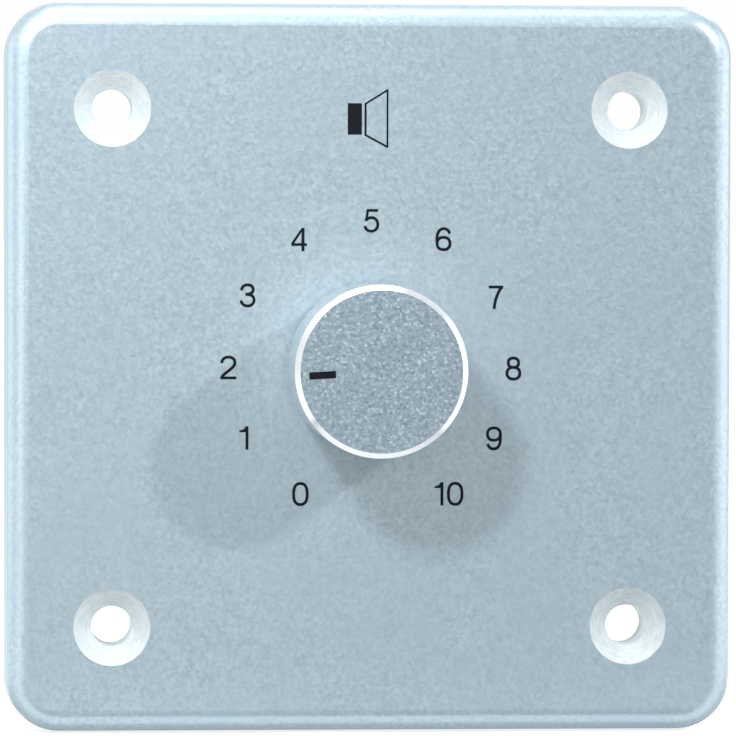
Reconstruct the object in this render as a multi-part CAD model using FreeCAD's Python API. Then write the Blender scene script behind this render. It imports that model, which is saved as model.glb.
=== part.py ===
import FreeCAD, Part
import math
import os

os.makedirs("parts", exist_ok=True)
V = FreeCAD.Vector

# A flush wall control for loudspeakers: a cast plate with one knob, a stepped rotary switch,
# a tapped autotransformer on a round board and a three-pole terminal block.
# Millimetres. X runs to the right seen from the front, Y into the wall and Z up.
# The origin is on the wall plane behind the plate, on the knob's axis.
# Clock angles are in degrees, clockwise from the top as seen from the front.

# Plate
plate_side = 80.0
plate_depth = 8.0
plate_corner_r = 6.0
plate_draft_deg = 3.0
plate_edge_r = 2.4
plate_face_t = 3.0
plate_wall_t = 2.2
cavity_floor_r = 1.0
wall_hole_inset = 11.75
wall_hole_d = 4.4
countersink_d = 8.4
wall_boss_d = 9.5
boss_rib_t = 1.6
boss_rib_setback = 1.5

# Dial
position_count = 11
step_deg = 30.0
first_clock_deg = 210.0
rest_step_count = 2
pointer_skew_deg = 3.3

# Knob
knob_d = 18.5
knob_gap = 0.7
knob_height = 14.8
knob_chamfer = 0.57
knob_rear_chamfer = 0.3
knob_shell_t = 1.1
knob_face_t = 1.5
core_setback = 0.3
nut_room = 0.35
pointer_length = 2.85
pointer_width = 0.78
pointer_depth = 0.35
pointer_from_edge = 1.5
grub_d = 3.0
grub_sunk = 1.5
grub_hex = 1.5
grub_hex_depth = 1.6
bore_floor_t = 2.0

# Shaft and bushing
shaft_d = 6.0
shaft_end_chamfer = 0.4
shaft_flat_depth = 0.5
shaft_end_gap = 0.2
journal_d = 3.0
journal_length = 2.0
bushing_wall_t = 1.5
bushing_past_nut = 1.4
bushing_flange_rim = 2.0
bushing_flange_t = 1.0
bushing_chamfer = 0.4
washer_rim = 2.25
washer_t = 0.6
nut_wall_t = 1.5
nut_t = 2.0
circlip_t = 0.6
circlip_stand = 1.5
circlip_groove_depth = 0.5
circlip_opening_deg = 80.0
recess_past_clip = 0.5
flat_past_clip = 0.25

# Switch
switch_d = 26.0
housing_wall_t = 1.8
housing_front_t = 1.5
housing_depth = 9.0
detent_groove_count = 12
detent_groove_r = 1.6
detent_groove_depth = 0.35
ball_d = 3.0
ball_bore_d = 3.2
rotor_hub_t = 1.2
spring_d = 2.75
spring_wire_d = 0.35
spring_turns = 5
rotor_gap = 0.3
rotor_rear_gap = 1.0
rotor_flat_depth = 0.5
stop_ring_t = 0.4
stop_ring_gap = 0.4
stop_tab_height = 0.8
stop_lug_inset = 0.3
stop_lug_height = 0.8
stop_lug_deg = 14.0
stop_play_deg = 1.0
peg_d = 2.5
peg_length = 1.2
peg_from_rim = 3.0
base_t = 2.5
base_foot_height = 2.0
base_foot_d = 2.2
base_foot_inset = 0.3
base_foot_clocks = (60.0, 120.0, 240.0, 300.0)
ear_stand = 1.5
ear_r = 2.6
ear_depth = 5.0
ear_screw_d = 2.0
ear_screw_length = 6.0
ear_screw_head_d = 3.6
ear_screw_head_t = 1.2
ear_screw_slot_w = 0.5
ear_screw_slot_depth = 0.6
contact_circle_r = 8.5
contact_head_d = 2.2
contact_head_t = 0.3
pin_d = 0.9
pin_past_board = 1.5
common_inner_r = 3.3
common_outer_r = 5.5
common_t = 0.4
wiper_t = 0.25
wiper_width = 2.4
wiper_tip_d = 1.2
wiper_tip_root_d = 2.4
wiper_rim = 0.3
wiper_tip_gap = 0.05
wiper_peg_d = 1.2
wiper_peg_circle_r = 4.6
wiper_peg_stand = 0.3

# Board
board_rim = 0.5
board_t = 1.6
standoff_x = 15.5
standoff_z = 18.5
standoff_flats = 5.5
standoff_boss_d = 7.0
standoff_boss_height = 3.5
standoff_stud_length = 4.5
screw_d = 3.0
screw_hole_d = 3.4
screw_head_d = 5.6
screw_head_t = 1.9
screw_slot_w = 0.8
screw_slot_depth = 0.9
screw_washer_d = 6.4
screw_washer_t = 0.5
board_screw_length = 6.0
tap_runout = 1.0
head_round_share = 0.45
solder_foot_d = 2.0
solder_top_d = 1.1
solder_height = 0.9

# Autotransformer
core_leg = 6.4
core_window = 19.2
core_stack = 13.6
core_pack_count = 8
core_board_gap = 2.1
bobbin_gap = 0.15
bobbin_tube_t = 0.8
bobbin_flange_t = 0.9
bobbin_end_gap = 0.1
bobbin_flange_lip = 0.45
bobbin_side_gap = 0.2
shelf_gap = 0.5
shelf_board_gap = 2.2
shelf_foot_width = 2.0
bobbin_pin_d = 0.8
bobbin_pin_pitch = 3.8
bobbin_pin_inset = 1.6
bobbin_pin_bury = 5.0
pins_per_side = 6
winding_t = 4.55
winding_corner_r = 5.0
tape_t = 0.25
strap_t = 1.0
strap_inset = 0.2
strap_foot_length = 7.0
strap_bend_r = 1.2
strap_screw_length = 6.0
small_nut_flats = 5.5
small_nut_t = 2.4

# Terminal block
pole_count = 3
pole_pitch = 5.08
block_end_t = 2.72
block_gap = 0.8
block_chamfer = 2.0
chamber_width = 3.9
chamber_wall_near = 1.2
chamber_wall_entry = 1.0
chamber_floor_t = 0.7
ledge_t = 0.45
entry_size = 3.0
cage_clear = 0.1
cage_length = 5.0
cage_wall_t = 0.5
cage_top_t = 1.1
cage_room = 0.75
cage_travel = 1.8
cage_floor_gap = 0.2
tongue_t = 0.6
tongue_side_gap = 0.15
leg_t = 0.5
leg_gap = 1.15
clamp_screw_d = 2.5
clamp_head_d = 3.5
clamp_head_t = 1.25
clamp_head_clear = 0.15
clamp_head_sunk = 0.35
clamp_slot_w = 0.6
clamp_slot_depth = 0.7

# How far a cutting body runs past the surface it cuts
past = 1.0

# Fits, each the gap on one side
thread_clear = 0.05
running_clear = 0.025
press_clear = 0.02
hole_clear = 0.1
touch_clear = 0.05
solder_clear = 0.01

# Places along the shaft, from the front of the plate to the back of the switch
plate_front_y = -plate_depth
plate_inner_y = plate_front_y + plate_face_t
knob_rear_y = plate_front_y - knob_gap
knob_front_y = knob_rear_y - knob_height
washer_front_y = plate_front_y - washer_t
nut_front_y = washer_front_y - nut_t
bushing_end_y = nut_front_y - bushing_past_nut
clip_rear_y = bushing_end_y - touch_clear
clip_front_y = clip_rear_y - circlip_t
core_recess_y = clip_front_y - recess_past_clip
core_front_y = knob_front_y + knob_face_t
shaft_end_y = core_front_y + bore_floor_t
grub_y = (shaft_end_y + core_recess_y) / 2
housing_inner_y = plate_inner_y + housing_front_t
flange_rear_y = housing_inner_y + bushing_flange_t
rotor_front_y = flange_rear_y + rotor_gap
base_front_y = plate_inner_y + housing_depth
rotor_rear_y = base_front_y - rotor_rear_gap
rotor_mid_y = (rotor_front_y + rotor_rear_y) / 2
base_rear_y = base_front_y + base_t
board_front_y = base_rear_y + base_foot_height
board_rear_y = board_front_y + board_t
pin_tip_front_y = board_front_y - pin_past_board
pin_tip_rear_y = board_rear_y + pin_past_board

# Sizes across the shaft's axis
shaft_flat_r = shaft_d / 2 - shaft_flat_depth
circlip_groove_d = shaft_d - 2 * circlip_groove_depth
circlip_d = shaft_d + 2 * circlip_stand
rotor_flats = shaft_d - 2 * rotor_flat_depth
bushing_d = shaft_d + 2 * bushing_wall_t
bushing_flange_d = bushing_d + 2 * bushing_flange_rim
washer_d = bushing_d + 2 * washer_rim
nut_flats = bushing_d + 2 * nut_wall_t
core_recess_d = 2 * (nut_flats / math.sqrt(3) + nut_room)
pointer_mid_r = knob_d / 2 - pointer_from_edge - pointer_length / 2
grub_length = knob_d / 2 - grub_sunk - shaft_flat_r - press_clear
stop_ring_inner_r = bushing_flange_d / 2 + stop_ring_gap
stop_lug_inner_r = stop_ring_inner_r + stop_lug_inset
ball_bore_floor_r = shaft_d / 2 + rotor_hub_t
peg_circle_r = switch_d / 2 - peg_from_rim
base_foot_circle_r = switch_d / 2 - base_foot_d / 2 - base_foot_inset
ear_x = switch_d / 2 + ear_stand
track_r = switch_d / 2 - housing_wall_t
rotor_r = track_r - rotor_gap
ball_centre_r = track_r - touch_clear - ball_d / 2
rest_clock_deg = first_clock_deg + step_deg * rest_step_count

# Places along the transformer, from the board to its rear end
core_front_edge_y = board_rear_y + core_board_gap
window_front_y = core_front_edge_y + core_leg
window_rear_y = window_front_y + core_window
core_rear_edge_y = window_rear_y + core_leg
bobbin_front_y = window_front_y + bobbin_end_gap
bobbin_rear_y = window_rear_y - bobbin_end_gap
tube_inner_x = core_leg + bobbin_gap
tube_inner_z = core_stack / 2 + bobbin_gap
tube_outer_x = tube_inner_x + bobbin_tube_t
tube_outer_z = tube_inner_z + bobbin_tube_t
winding_front_y = bobbin_front_y + bobbin_flange_t
winding_rear_y = bobbin_rear_y - bobbin_flange_t
winding_half_x = tube_outer_x + winding_t
winding_half_z = tube_outer_z + winding_t
bobbin_half_x = winding_half_x + tape_t + bobbin_flange_lip
bobbin_half_z = winding_half_z + tape_t + bobbin_flange_lip
window_outer_x = bobbin_half_x + bobbin_side_gap
core_half_x = window_outer_x + core_leg
shelf_start_z = core_stack / 2 + shelf_gap
bobbin_pin_z = bobbin_half_z - bobbin_pin_inset
strap_width = core_stack - 2 * strap_inset
strap_inner_x = core_half_x
strap_outer_x = strap_inner_x + strap_t
strap_foot_x = strap_outer_x + strap_foot_length
strap_hole_x = strap_outer_x + strap_foot_length / 2
strap_foot_rear_y = board_rear_y + strap_t
board_d = 2 * (math.hypot(strap_foot_x, strap_width / 2) + board_rim)

# Places in the terminal block
block_half_x = pole_pitch * (pole_count - 1) / 2 + block_end_t
block_near_z = -bobbin_half_z - block_gap
chamber_near_z = block_near_z - chamber_wall_near
leg_near_z = chamber_near_z - touch_clear
leg_far_z = leg_near_z - leg_t
leg_mid_z = (leg_near_z + leg_far_z) / 2
cage_near_z = leg_far_z - leg_gap
cage_far_z = cage_near_z - cage_length
clamp_z = (cage_far_z + cage_near_z) / 2
chamber_far_z = cage_far_z - hole_clear
block_far_z = chamber_far_z - chamber_wall_entry
chamber_front_y = board_rear_y + chamber_floor_t
cage_front_y = chamber_front_y + cage_floor_gap
entry_front_y = cage_front_y + cage_wall_t + touch_clear
tongue_front_y = entry_front_y + entry_size
tongue_rear_y = tongue_front_y + tongue_t
cage_rear_y = tongue_rear_y + cage_room + cage_top_t
chamber_rear_y = cage_rear_y + cage_travel + cage_floor_gap
ledge_rear_y = chamber_rear_y + ledge_t
clamp_seat_y = ledge_rear_y + touch_clear
block_rear_y = clamp_seat_y + clamp_head_t + clamp_head_sunk
cage_half_x = chamber_width / 2 - cage_clear
tongue_half_x = cage_half_x - cage_wall_t - tongue_side_gap
pole_xs = [pole_pitch * (pole - (pole_count - 1) / 2) for pole in range(pole_count)]


def box(x0, x1, y0, y1, z0, z1):
    return Part.makeBox(x1 - x0, y1 - y0, z1 - z0, V(x0, y0, z0))


def rod(x, z, diameter, y0, y1):
    """Round bar along Y."""
    return Part.makeCylinder(diameter / 2, y1 - y0, V(x, y0, z), V(0, 1, 0))


def tube(x, z, outer_d, inner_d, y0, y1):
    return rod(x, z, outer_d, y0, y1).cut(rod(x, z, inner_d, y0 - past, y1 + past))


def cone(x, z, d0, d1, y0, y1):
    """Round bar along Y whose diameter changes from d0 at y0 to d1 at y1."""
    return Part.makeCone(d0 / 2, d1 / 2, y1 - y0, V(x, y0, z), V(0, 1, 0))


def hex_bar(x, z, flats, y0, y1):
    corner_r = flats / math.sqrt(3)
    turns = [math.radians(60 * side) for side in range(7)]
    points = [V(x + corner_r * math.sin(a), y0, z + corner_r * math.cos(a)) for a in turns]
    return Part.Face(Part.makePolygon(points)).extrude(V(0, y1 - y0, 0))


def outline(points, depth):
    """Flat shape through closed points, carried along the given direction."""
    return Part.Face(Part.makePolygon(points + points[:1])).extrude(depth)


def rounded_wire(half_x, half_z, corner_r, y):
    """Rectangle with round corners, standing in the plane at y."""
    edges = []
    corners = ((1, 1), (1, -1), (-1, -1), (-1, 1))
    for number, (sx, sz) in enumerate(corners):
        centre = V(sx * (half_x - corner_r), y, sz * (half_z - corner_r))
        on_side = centre + V(sx * corner_r, 0, 0)
        on_top = centre + V(0, 0, sz * corner_r)
        middle = centre + V(sx, 0, sz) * (corner_r / math.sqrt(2))
        first, last = (on_top, on_side) if number % 2 == 0 else (on_side, on_top)
        if edges:
            edges.append(Part.LineSegment(previous, first).toShape())
        else:
            start = first
        edges.append(Part.Arc(first, middle, last).toShape())
        previous = last
    edges.append(Part.LineSegment(previous, start).toShape())
    return Part.Wire(edges)


def rounded_block(half_x, half_z, corner_r, y0, y1):
    return Part.Face(rounded_wire(half_x, half_z, corner_r, y0)).extrude(V(0, y1 - y0, 0))


def ring_sector(inner_r, outer_r, half_deg, y0, y1):
    """Part of a ring round the shaft axis, centred on the top."""
    def on(radius, deg):
        return V(radius * math.sin(math.radians(deg)), y0, radius * math.cos(math.radians(deg)))

    edges = [
        Part.Arc(on(outer_r, -half_deg), on(outer_r, 0), on(outer_r, half_deg)).toShape(),
        Part.LineSegment(on(outer_r, half_deg), on(inner_r, half_deg)).toShape(),
        Part.Arc(on(inner_r, half_deg), on(inner_r, 0), on(inner_r, -half_deg)).toShape(),
        Part.LineSegment(on(inner_r, -half_deg), on(outer_r, -half_deg)).toShape(),
    ]
    return Part.Face(Part.Wire(edges)).extrude(V(0, y1 - y0, 0))


def at_clock(shape, clock_deg):
    """Turn a shape that was made at the top round the shaft axis to a clock angle."""
    turned = shape.copy()
    turned.rotate(V(0, 0, 0), V(0, 1, 0), clock_deg)
    return turned


def clock_point(radius, clock_deg):
    angle = math.radians(clock_deg)
    return radius * math.sin(angle), radius * math.cos(angle)


def fuse(first, *others):
    return first.fuse(list(others)).removeSplitter()


def edges_at(shape, y, tolerance=0.001):
    """Edges that lie wholly in the plane at y."""
    return [edge for edge in shape.Edges
            if abs(edge.BoundBox.YMin - y) < tolerance and abs(edge.BoundBox.YMax - y) < tolerance]


def corner_points(x, z):
    return [(sx * x, sz * z) for sx in (-1, 1) for sz in (-1, 1)]


wall_hole_points = corner_points(plate_side / 2 - wall_hole_inset, plate_side / 2 - wall_hole_inset)
standoff_points = corner_points(standoff_x, standoff_z)
strap_hole_points = [(-strap_hole_x, 0), (strap_hole_x, 0)]
ear_points = [(-ear_x, 0), (ear_x, 0)]
contact_points = [clock_point(contact_circle_r, first_clock_deg + step_deg * number)
                  for number in range(position_count)]
common_r = (common_inner_r + common_outer_r) / 2
common_point = clock_point(common_r, first_clock_deg - step_deg)
switch_pin_points = contact_points + [common_point]
bobbin_pin_points = [(bobbin_pin_pitch * (pin - (pins_per_side - 1) / 2), side * bobbin_pin_z)
                     for side in (-1, 1) for pin in range(pins_per_side)]


# Plate

def drafted_block(inset, corner_r, y_front):
    """Block from the wall plane forwards, its sides leaning in with the plate's draft."""
    lean = -y_front * math.tan(math.radians(plate_draft_deg))
    half = plate_side / 2 - inset
    rear = rounded_wire(half, half, corner_r, 0)
    front = rounded_wire(half - lean, half - lean, corner_r - lean, y_front)
    return Part.makeLoft([rear, front], True, True)


def front_plate():
    block = drafted_block(0, plate_corner_r, plate_front_y)
    block = block.makeFillet(plate_edge_r, edges_at(block, plate_front_y))
    cavity = drafted_block(plate_wall_t, plate_corner_r - plate_wall_t, plate_inner_y)
    cavity = cavity.makeFillet(cavity_floor_r, edges_at(cavity, plate_inner_y))
    plate = block.cut(cavity)

    added = []
    rib_end = plate_side / 2 - plate_wall_t / 2 + plate_inner_y * math.tan(math.radians(plate_draft_deg))
    for x, z in wall_hole_points:
        added.append(rod(x, z, wall_boss_d, plate_inner_y, 0))
        half_t = boss_rib_t / 2
        outer_x = math.copysign(rib_end, x)
        outer_z = math.copysign(rib_end, z)
        added.append(box(min(x, outer_x), max(x, outer_x), plate_inner_y, -boss_rib_setback,
                         z - half_t, z + half_t))
        added.append(box(x - half_t, x + half_t, plate_inner_y, -boss_rib_setback,
                         min(z, outer_z), max(z, outer_z)))
    for x, z in standoff_points:
        added.append(rod(x, z, standoff_boss_d, plate_inner_y, plate_inner_y + standoff_boss_height))
    plate = fuse(plate, *added)

    removed = []
    sink_depth = (countersink_d - wall_hole_d) / 2
    for x, z in wall_hole_points:
        removed.append(rod(x, z, wall_hole_d, plate_front_y - past, past))
        removed.append(cone(x, z, countersink_d, wall_hole_d, plate_front_y, plate_front_y + sink_depth))
    stud_hole_d = screw_d + 2 * thread_clear
    stud_hole_y = plate_inner_y + standoff_boss_height - standoff_stud_length - hole_clear
    for x, z in standoff_points:
        removed.append(rod(x, z, stud_hole_d, stud_hole_y, 0))
    removed.append(rod(0, 0, bushing_d + 2 * hole_clear, plate_front_y - past, 0))
    peg_x, peg_z = clock_point(peg_circle_r, first_clock_deg - step_deg)
    removed.append(rod(peg_x, peg_z, peg_d + 2 * hole_clear, plate_inner_y - peg_length - hole_clear, 0))
    return plate.cut(removed)


# Turning group, made with the knob's pointer side up and then turned to the rest position

def turned_to_rest(shape):
    return at_clock(shape, rest_clock_deg)


def d_bar(clear, y0, y1):
    """The shaft's flattened end, larger all round by the given gap. The flat faces down."""
    radius = shaft_d / 2 + clear
    bar = rod(0, 0, 2 * radius, y0, y1)
    flat = box(-radius - past, radius + past, y0 - past, y1 + past, -radius - past, -shaft_flat_r - clear)
    return bar.cut(flat)


def double_d_bar(clear, y0, y1):
    """The shaft's end in the rotor, with two flats."""
    radius = shaft_d / 2 + clear
    half = rotor_flats / 2 + clear
    return rod(0, 0, 2 * radius, y0, y1).common(box(-half, half, y0, y1, -radius, radius))


def pointer_bar():
    half_w = pointer_width / 2
    inner_z = pointer_mid_r - pointer_length / 2
    bar = box(-half_w, half_w, knob_front_y, knob_front_y + pointer_depth, inner_z, inner_z + pointer_length)
    return at_clock(bar, -pointer_skew_deg)


def knob_shell():
    shell = rod(0, 0, knob_d, knob_front_y, knob_rear_y)
    shell = shell.makeChamfer(knob_chamfer, edges_at(shell, knob_front_y))
    shell = shell.makeChamfer(knob_rear_chamfer, edges_at(shell, knob_rear_y))
    cavity_d = knob_d - 2 * knob_shell_t
    shell = shell.cut(rod(0, 0, cavity_d, core_front_y, knob_rear_y + past))
    grub_hole = Part.makeCylinder(grub_d / 2 + hole_clear, knob_d, V(0, grub_y, 0), V(0, 0, -1))
    return turned_to_rest(shell.cut(grub_hole).cut(pointer_bar()))


def knob_core():
    core_d = knob_d - 2 * knob_shell_t - 2 * press_clear
    core_rear_y = knob_rear_y - core_setback
    core = rod(0, 0, core_d, core_front_y, core_rear_y)
    core = core.cut(rod(0, 0, core_recess_d, core_recess_y, core_rear_y + past))
    core = core.cut(d_bar(press_clear, shaft_end_y - shaft_end_gap, core_recess_y + past))
    grub_hole = Part.makeCylinder(grub_d / 2 + thread_clear, knob_d, V(0, grub_y, 0), V(0, 0, -1))
    return turned_to_rest(core.cut(grub_hole))


def knob_grub_screw():
    """Set screw from the flat of the shaft outwards, with a hexagon socket in its outer end."""
    top_z = -shaft_flat_r - press_clear
    screw = Part.makeCylinder(grub_d / 2, grub_length, V(0, grub_y, top_z), V(0, 0, -1))
    socket = hex_bar(0, 0, grub_hex, 0, grub_hex_depth)
    socket.rotate(V(0, 0, 0), V(1, 0, 0), 90)
    socket.translate(V(0, grub_y, top_z - grub_length))
    return turned_to_rest(screw.cut(socket))


def switch_shaft():
    clip_front_edge = clip_front_y - touch_clear / 2
    flat_end_y = clip_front_edge - flat_past_clip
    shaft = d_bar(0, shaft_end_y, flat_end_y)
    shaft = shaft.makeChamfer(shaft_end_chamfer, edges_at(shaft, shaft_end_y))
    groove_end_y = clip_rear_y + touch_clear / 2
    lengths = [
        rod(0, 0, shaft_d, flat_end_y, clip_front_edge),
        rod(0, 0, circlip_groove_d, clip_front_edge, groove_end_y),
        rod(0, 0, shaft_d, groove_end_y, rotor_front_y),
        double_d_bar(0, rotor_front_y, rotor_rear_y),
        rod(0, 0, journal_d, rotor_rear_y, rotor_rear_y + rotor_rear_gap + journal_length),
    ]
    return turned_to_rest(fuse(shaft, *lengths))


def shaft_circlip():
    half_deg = 180 - circlip_opening_deg / 2
    inner_r = circlip_groove_d / 2 + press_clear
    return turned_to_rest(ring_sector(inner_r, circlip_d / 2, half_deg, clip_front_y, clip_rear_y))


def detent_rotor():
    rotor = rod(0, 0, 2 * rotor_r, rotor_front_y, rotor_rear_y)
    lug = ring_sector(stop_lug_inner_r, rotor_r, stop_lug_deg / 2,
                      rotor_front_y - stop_lug_height, rotor_front_y)
    peg_end_y = rotor_rear_y + wiper_t + wiper_peg_stand
    pegs = [rod(side * wiper_peg_circle_r, 0, wiper_peg_d, rotor_rear_y, peg_end_y)
            for side in (-1, 1)]
    rotor = fuse(rotor, at_clock(lug, 180), *pegs)
    for side in (-1, 1):
        bore = Part.makeCylinder(ball_bore_d / 2, rotor_r, V(side * ball_bore_floor_r, rotor_mid_y, 0),
                                 V(side, 0, 0))
        rotor = rotor.cut(bore)
    return turned_to_rest(rotor.cut(double_d_bar(press_clear, rotor_front_y - past, rotor_rear_y + past)))


def detent_balls():
    """The balls, held at the height of the track's crests so that they pass every one."""
    return [turned_to_rest(Part.makeSphere(ball_d / 2, V(side * ball_centre_r, rotor_mid_y, 0)))
            for side in (-1, 1)]


def spring(start_x, end_x):
    """Compression spring along X, as one wire wound over quarter turns."""
    coil_r = (spring_d - spring_wire_d) / 2
    quarters = 4 * spring_turns

    def on_coil(quarter):
        angle = math.pi / 2 * quarter
        along = start_x + (end_x - start_x) * quarter / quarters
        return V(along, rotor_mid_y + coil_r * math.sin(angle), coil_r * math.cos(angle))

    arcs = [Part.Arc(on_coil(number), on_coil(number + 0.5), on_coil(number + 1)).toShape()
            for number in range(quarters)]
    path = Part.Wire(arcs)
    heading = arcs[0].tangentAt(arcs[0].FirstParameter)
    section = Part.Wire(Part.makeCircle(spring_wire_d / 2, on_coil(0), heading))
    return path.makePipeShell([section], True, False)


def detent_springs():
    """Each spring stands on the floor of its bore and ends where its coil meets the ball."""
    coil_r = (spring_d - spring_wire_d) / 2
    reach = (ball_d + spring_wire_d) / 2 + touch_clear
    end_r = ball_centre_r - math.sqrt(reach ** 2 - coil_r ** 2)
    start_r = ball_bore_floor_r + spring_wire_d / 2 + touch_clear
    one = spring(start_r, end_r)
    other = spring(-start_r, -end_r)
    return [turned_to_rest(one), turned_to_rest(other)]


def wiper_contact():
    """Spring bronze disc with one arm, and a raised tip over the common ring and the contacts."""
    rear_y = rotor_rear_y + wiper_t
    disc = rod(0, 0, 2 * (common_outer_r + wiper_rim), rotor_rear_y, rear_y)
    arm_end_z = contact_circle_r + wiper_tip_root_d / 2
    arm = box(-wiper_width / 2, wiper_width / 2, rotor_rear_y, rear_y, 0, arm_end_z)
    tip_y = base_front_y - wiper_tip_gap
    tips = [cone(0, radius, wiper_tip_root_d, wiper_tip_d, rear_y, tip_y)
            for radius in (common_r, contact_circle_r)]
    wiper = fuse(disc, arm, *tips)
    peg_hole_d = wiper_peg_d + 2 * press_clear
    holes = [rod(side * wiper_peg_circle_r, 0, peg_hole_d, rotor_rear_y - past, rear_y + past)
             for side in (-1, 1)]
    holes.append(rod(0, 0, journal_d + 2 * hole_clear, rotor_rear_y - past, base_front_y))
    return turned_to_rest(wiper.cut(holes))


# Fixed pieces of the switch

def eared_body(diameter, y0, y1, ear_y0):
    """Round body with a screw ear on each side, the ears from ear_y0 to y1."""
    body = rod(0, 0, diameter, y0, y1)
    ears = [rod(x, z, 2 * ear_r, ear_y0, y1) for x, z in ear_points]
    bridge = box(-ear_x, ear_x, ear_y0, y1, -ear_r, ear_r)
    return fuse(body, bridge, *ears)


def switch_housing():
    housing = eared_body(switch_d, plate_inner_y, base_front_y, base_front_y - ear_depth)
    housing = housing.cut(rod(0, 0, 2 * track_r, housing_inner_y, base_front_y + past))
    groove_centre_r = track_r + detent_groove_depth - detent_groove_r
    grooves = []
    for number in range(detent_groove_count):
        x, z = clock_point(groove_centre_r, number * 360 / detent_groove_count)
        grooves.append(rod(x, z, 2 * detent_groove_r, housing_inner_y + stop_ring_t, base_front_y + past))
    housing = housing.cut(grooves)
    peg_x, peg_z = clock_point(peg_circle_r, first_clock_deg - step_deg)
    peg = rod(peg_x, peg_z, peg_d, plate_inner_y - peg_length, plate_inner_y)
    housing = fuse(housing, peg)
    holes = [rod(0, 0, bushing_d + 2 * thread_clear, plate_inner_y - past, housing_inner_y + past)]
    hole_y = base_rear_y - ear_screw_length - hole_clear
    holes += [rod(x, z, ear_screw_d + 2 * thread_clear, hole_y, base_front_y + past) for x, z in ear_points]
    return housing.cut(holes)


def switch_bushing():
    sleeve = rod(0, 0, bushing_d, bushing_end_y, housing_inner_y)
    sleeve = sleeve.makeChamfer(bushing_chamfer, edges_at(sleeve, bushing_end_y))
    flange = rod(0, 0, bushing_flange_d, housing_inner_y, flange_rear_y)
    bore = rod(0, 0, shaft_d + 2 * running_clear, bushing_end_y - past, flange_rear_y + past)
    return fuse(sleeve, flange).cut(bore)


def bushing_washer():
    return tube(0, 0, washer_d, bushing_d + 2 * hole_clear, washer_front_y, plate_front_y)


def chamfered_nut(x, z, flats, bore_d, y0, y1):
    """Hexagon nut whose corners are turned back at both faces."""
    corner_d = 2 * flats / math.sqrt(3)
    turned_back = (corner_d - flats) / 2 * math.tan(math.radians(30))
    middle = rod(x, z, corner_d, y0 + turned_back, y1 - turned_back)
    front = cone(x, z, flats, corner_d, y0, y0 + turned_back)
    rear = cone(x, z, corner_d, flats, y1 - turned_back, y1)
    envelope = fuse(front, middle, rear)
    bore = rod(x, z, bore_d, y0 - past, y1 + past)
    return hex_bar(x, z, flats, y0, y1).common(envelope).cut(bore)


def bushing_nut():
    return chamfered_nut(0, 0, nut_flats, bushing_d + 2 * thread_clear, nut_front_y, washer_front_y)


def stop_ring():
    """Ring under the housing's front wall, whose tab ends the rotor's travel both ways."""
    ring_rear_y = housing_inner_y + stop_ring_t
    ring = tube(0, 0, 2 * (track_r - touch_clear), 2 * stop_ring_inner_r, housing_inner_y, ring_rear_y)
    free_deg = 360 - step_deg * (position_count - 1)
    half_deg = (free_deg - stop_lug_deg) / 2 - stop_play_deg
    tab_rear_y = ring_rear_y + stop_tab_height
    tab = ring_sector(stop_lug_inner_r, track_r - touch_clear, half_deg, ring_rear_y, tab_rear_y)
    travel_mid_deg = first_clock_deg + step_deg * (position_count - 1) / 2
    return at_clock(fuse(ring, tab), travel_mid_deg)


def switch_base():
    base = eared_body(switch_d, base_front_y, base_rear_y, base_front_y)
    feet = [rod(*clock_point(base_foot_circle_r, clock), base_foot_d, base_rear_y, board_front_y)
            for clock in base_foot_clocks]
    base = fuse(base, *feet)
    through = [(x, z, ear_screw_d + 2 * hole_clear) for x, z in ear_points]
    through += [(x, z, pin_d + 2 * press_clear) for x, z in switch_pin_points]
    holes = [rod(x, z, d, base_front_y - past, base_rear_y + past) for x, z, d in through]
    holes += [rod(x, z, contact_head_d + 2 * press_clear, base_front_y - past, base_front_y + contact_head_t)
              for x, z in contact_points]
    holes.append(tube(0, 0, 2 * (common_outer_r + press_clear), 2 * (common_inner_r - press_clear),
                      base_front_y - past, base_front_y + common_t))
    journal_end_y = base_front_y + journal_length + hole_clear
    holes.append(rod(0, 0, journal_d + 2 * running_clear, base_front_y - past, journal_end_y))
    return base.cut(holes)


def switch_contacts():
    """Rivet-headed pins, one for each position, that run through the base and the board."""
    return [fuse(rod(x, z, contact_head_d, base_front_y, base_front_y + contact_head_t),
                 rod(x, z, pin_d, base_front_y + contact_head_t, pin_tip_rear_y))
            for x, z in contact_points]


def common_contact():
    ring = tube(0, 0, 2 * common_outer_r, 2 * common_inner_r, base_front_y, base_front_y + common_t)
    return fuse(ring, rod(*common_point, pin_d, base_front_y + common_t, pin_tip_rear_y))


def pan_screw(x, z, diameter, head_d, head_t, slot_w, slot_depth, seat_y, length):
    """Slotted screw driven from the rear, its head seated at seat_y."""
    head = rod(x, z, head_d, seat_y, seat_y + head_t)
    head = head.makeFillet(head_t * head_round_share, edges_at(head, seat_y + head_t))
    head = head.cut(box(x - head_d, x + head_d, seat_y + head_t - slot_depth, seat_y + head_t + past,
                        z - slot_w / 2, z + slot_w / 2))
    return fuse(head, rod(x, z, diameter, seat_y - length, seat_y))


def switch_screws():
    return [pan_screw(x, z, ear_screw_d, ear_screw_head_d, ear_screw_head_t, ear_screw_slot_w,
                      ear_screw_slot_depth, base_rear_y, ear_screw_length) for x, z in ear_points]


# Board

def circuit_board():
    board = rod(0, 0, board_d, board_front_y, board_rear_y)
    holes = [(x, z, screw_hole_d) for x, z in standoff_points + strap_hole_points]
    holes += [(x, z, pin_d + 2 * hole_clear) for x, z in switch_pin_points]
    holes += [(x, z, bobbin_pin_d + 2 * hole_clear) for x, z in bobbin_pin_points]
    holes += [(x, leg_mid_z, pin_d + 2 * hole_clear + leg_t / 2) for x in pole_xs]
    return board.cut([rod(x, z, d, board_front_y - past, board_rear_y + past) for x, z, d in holes])


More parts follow.
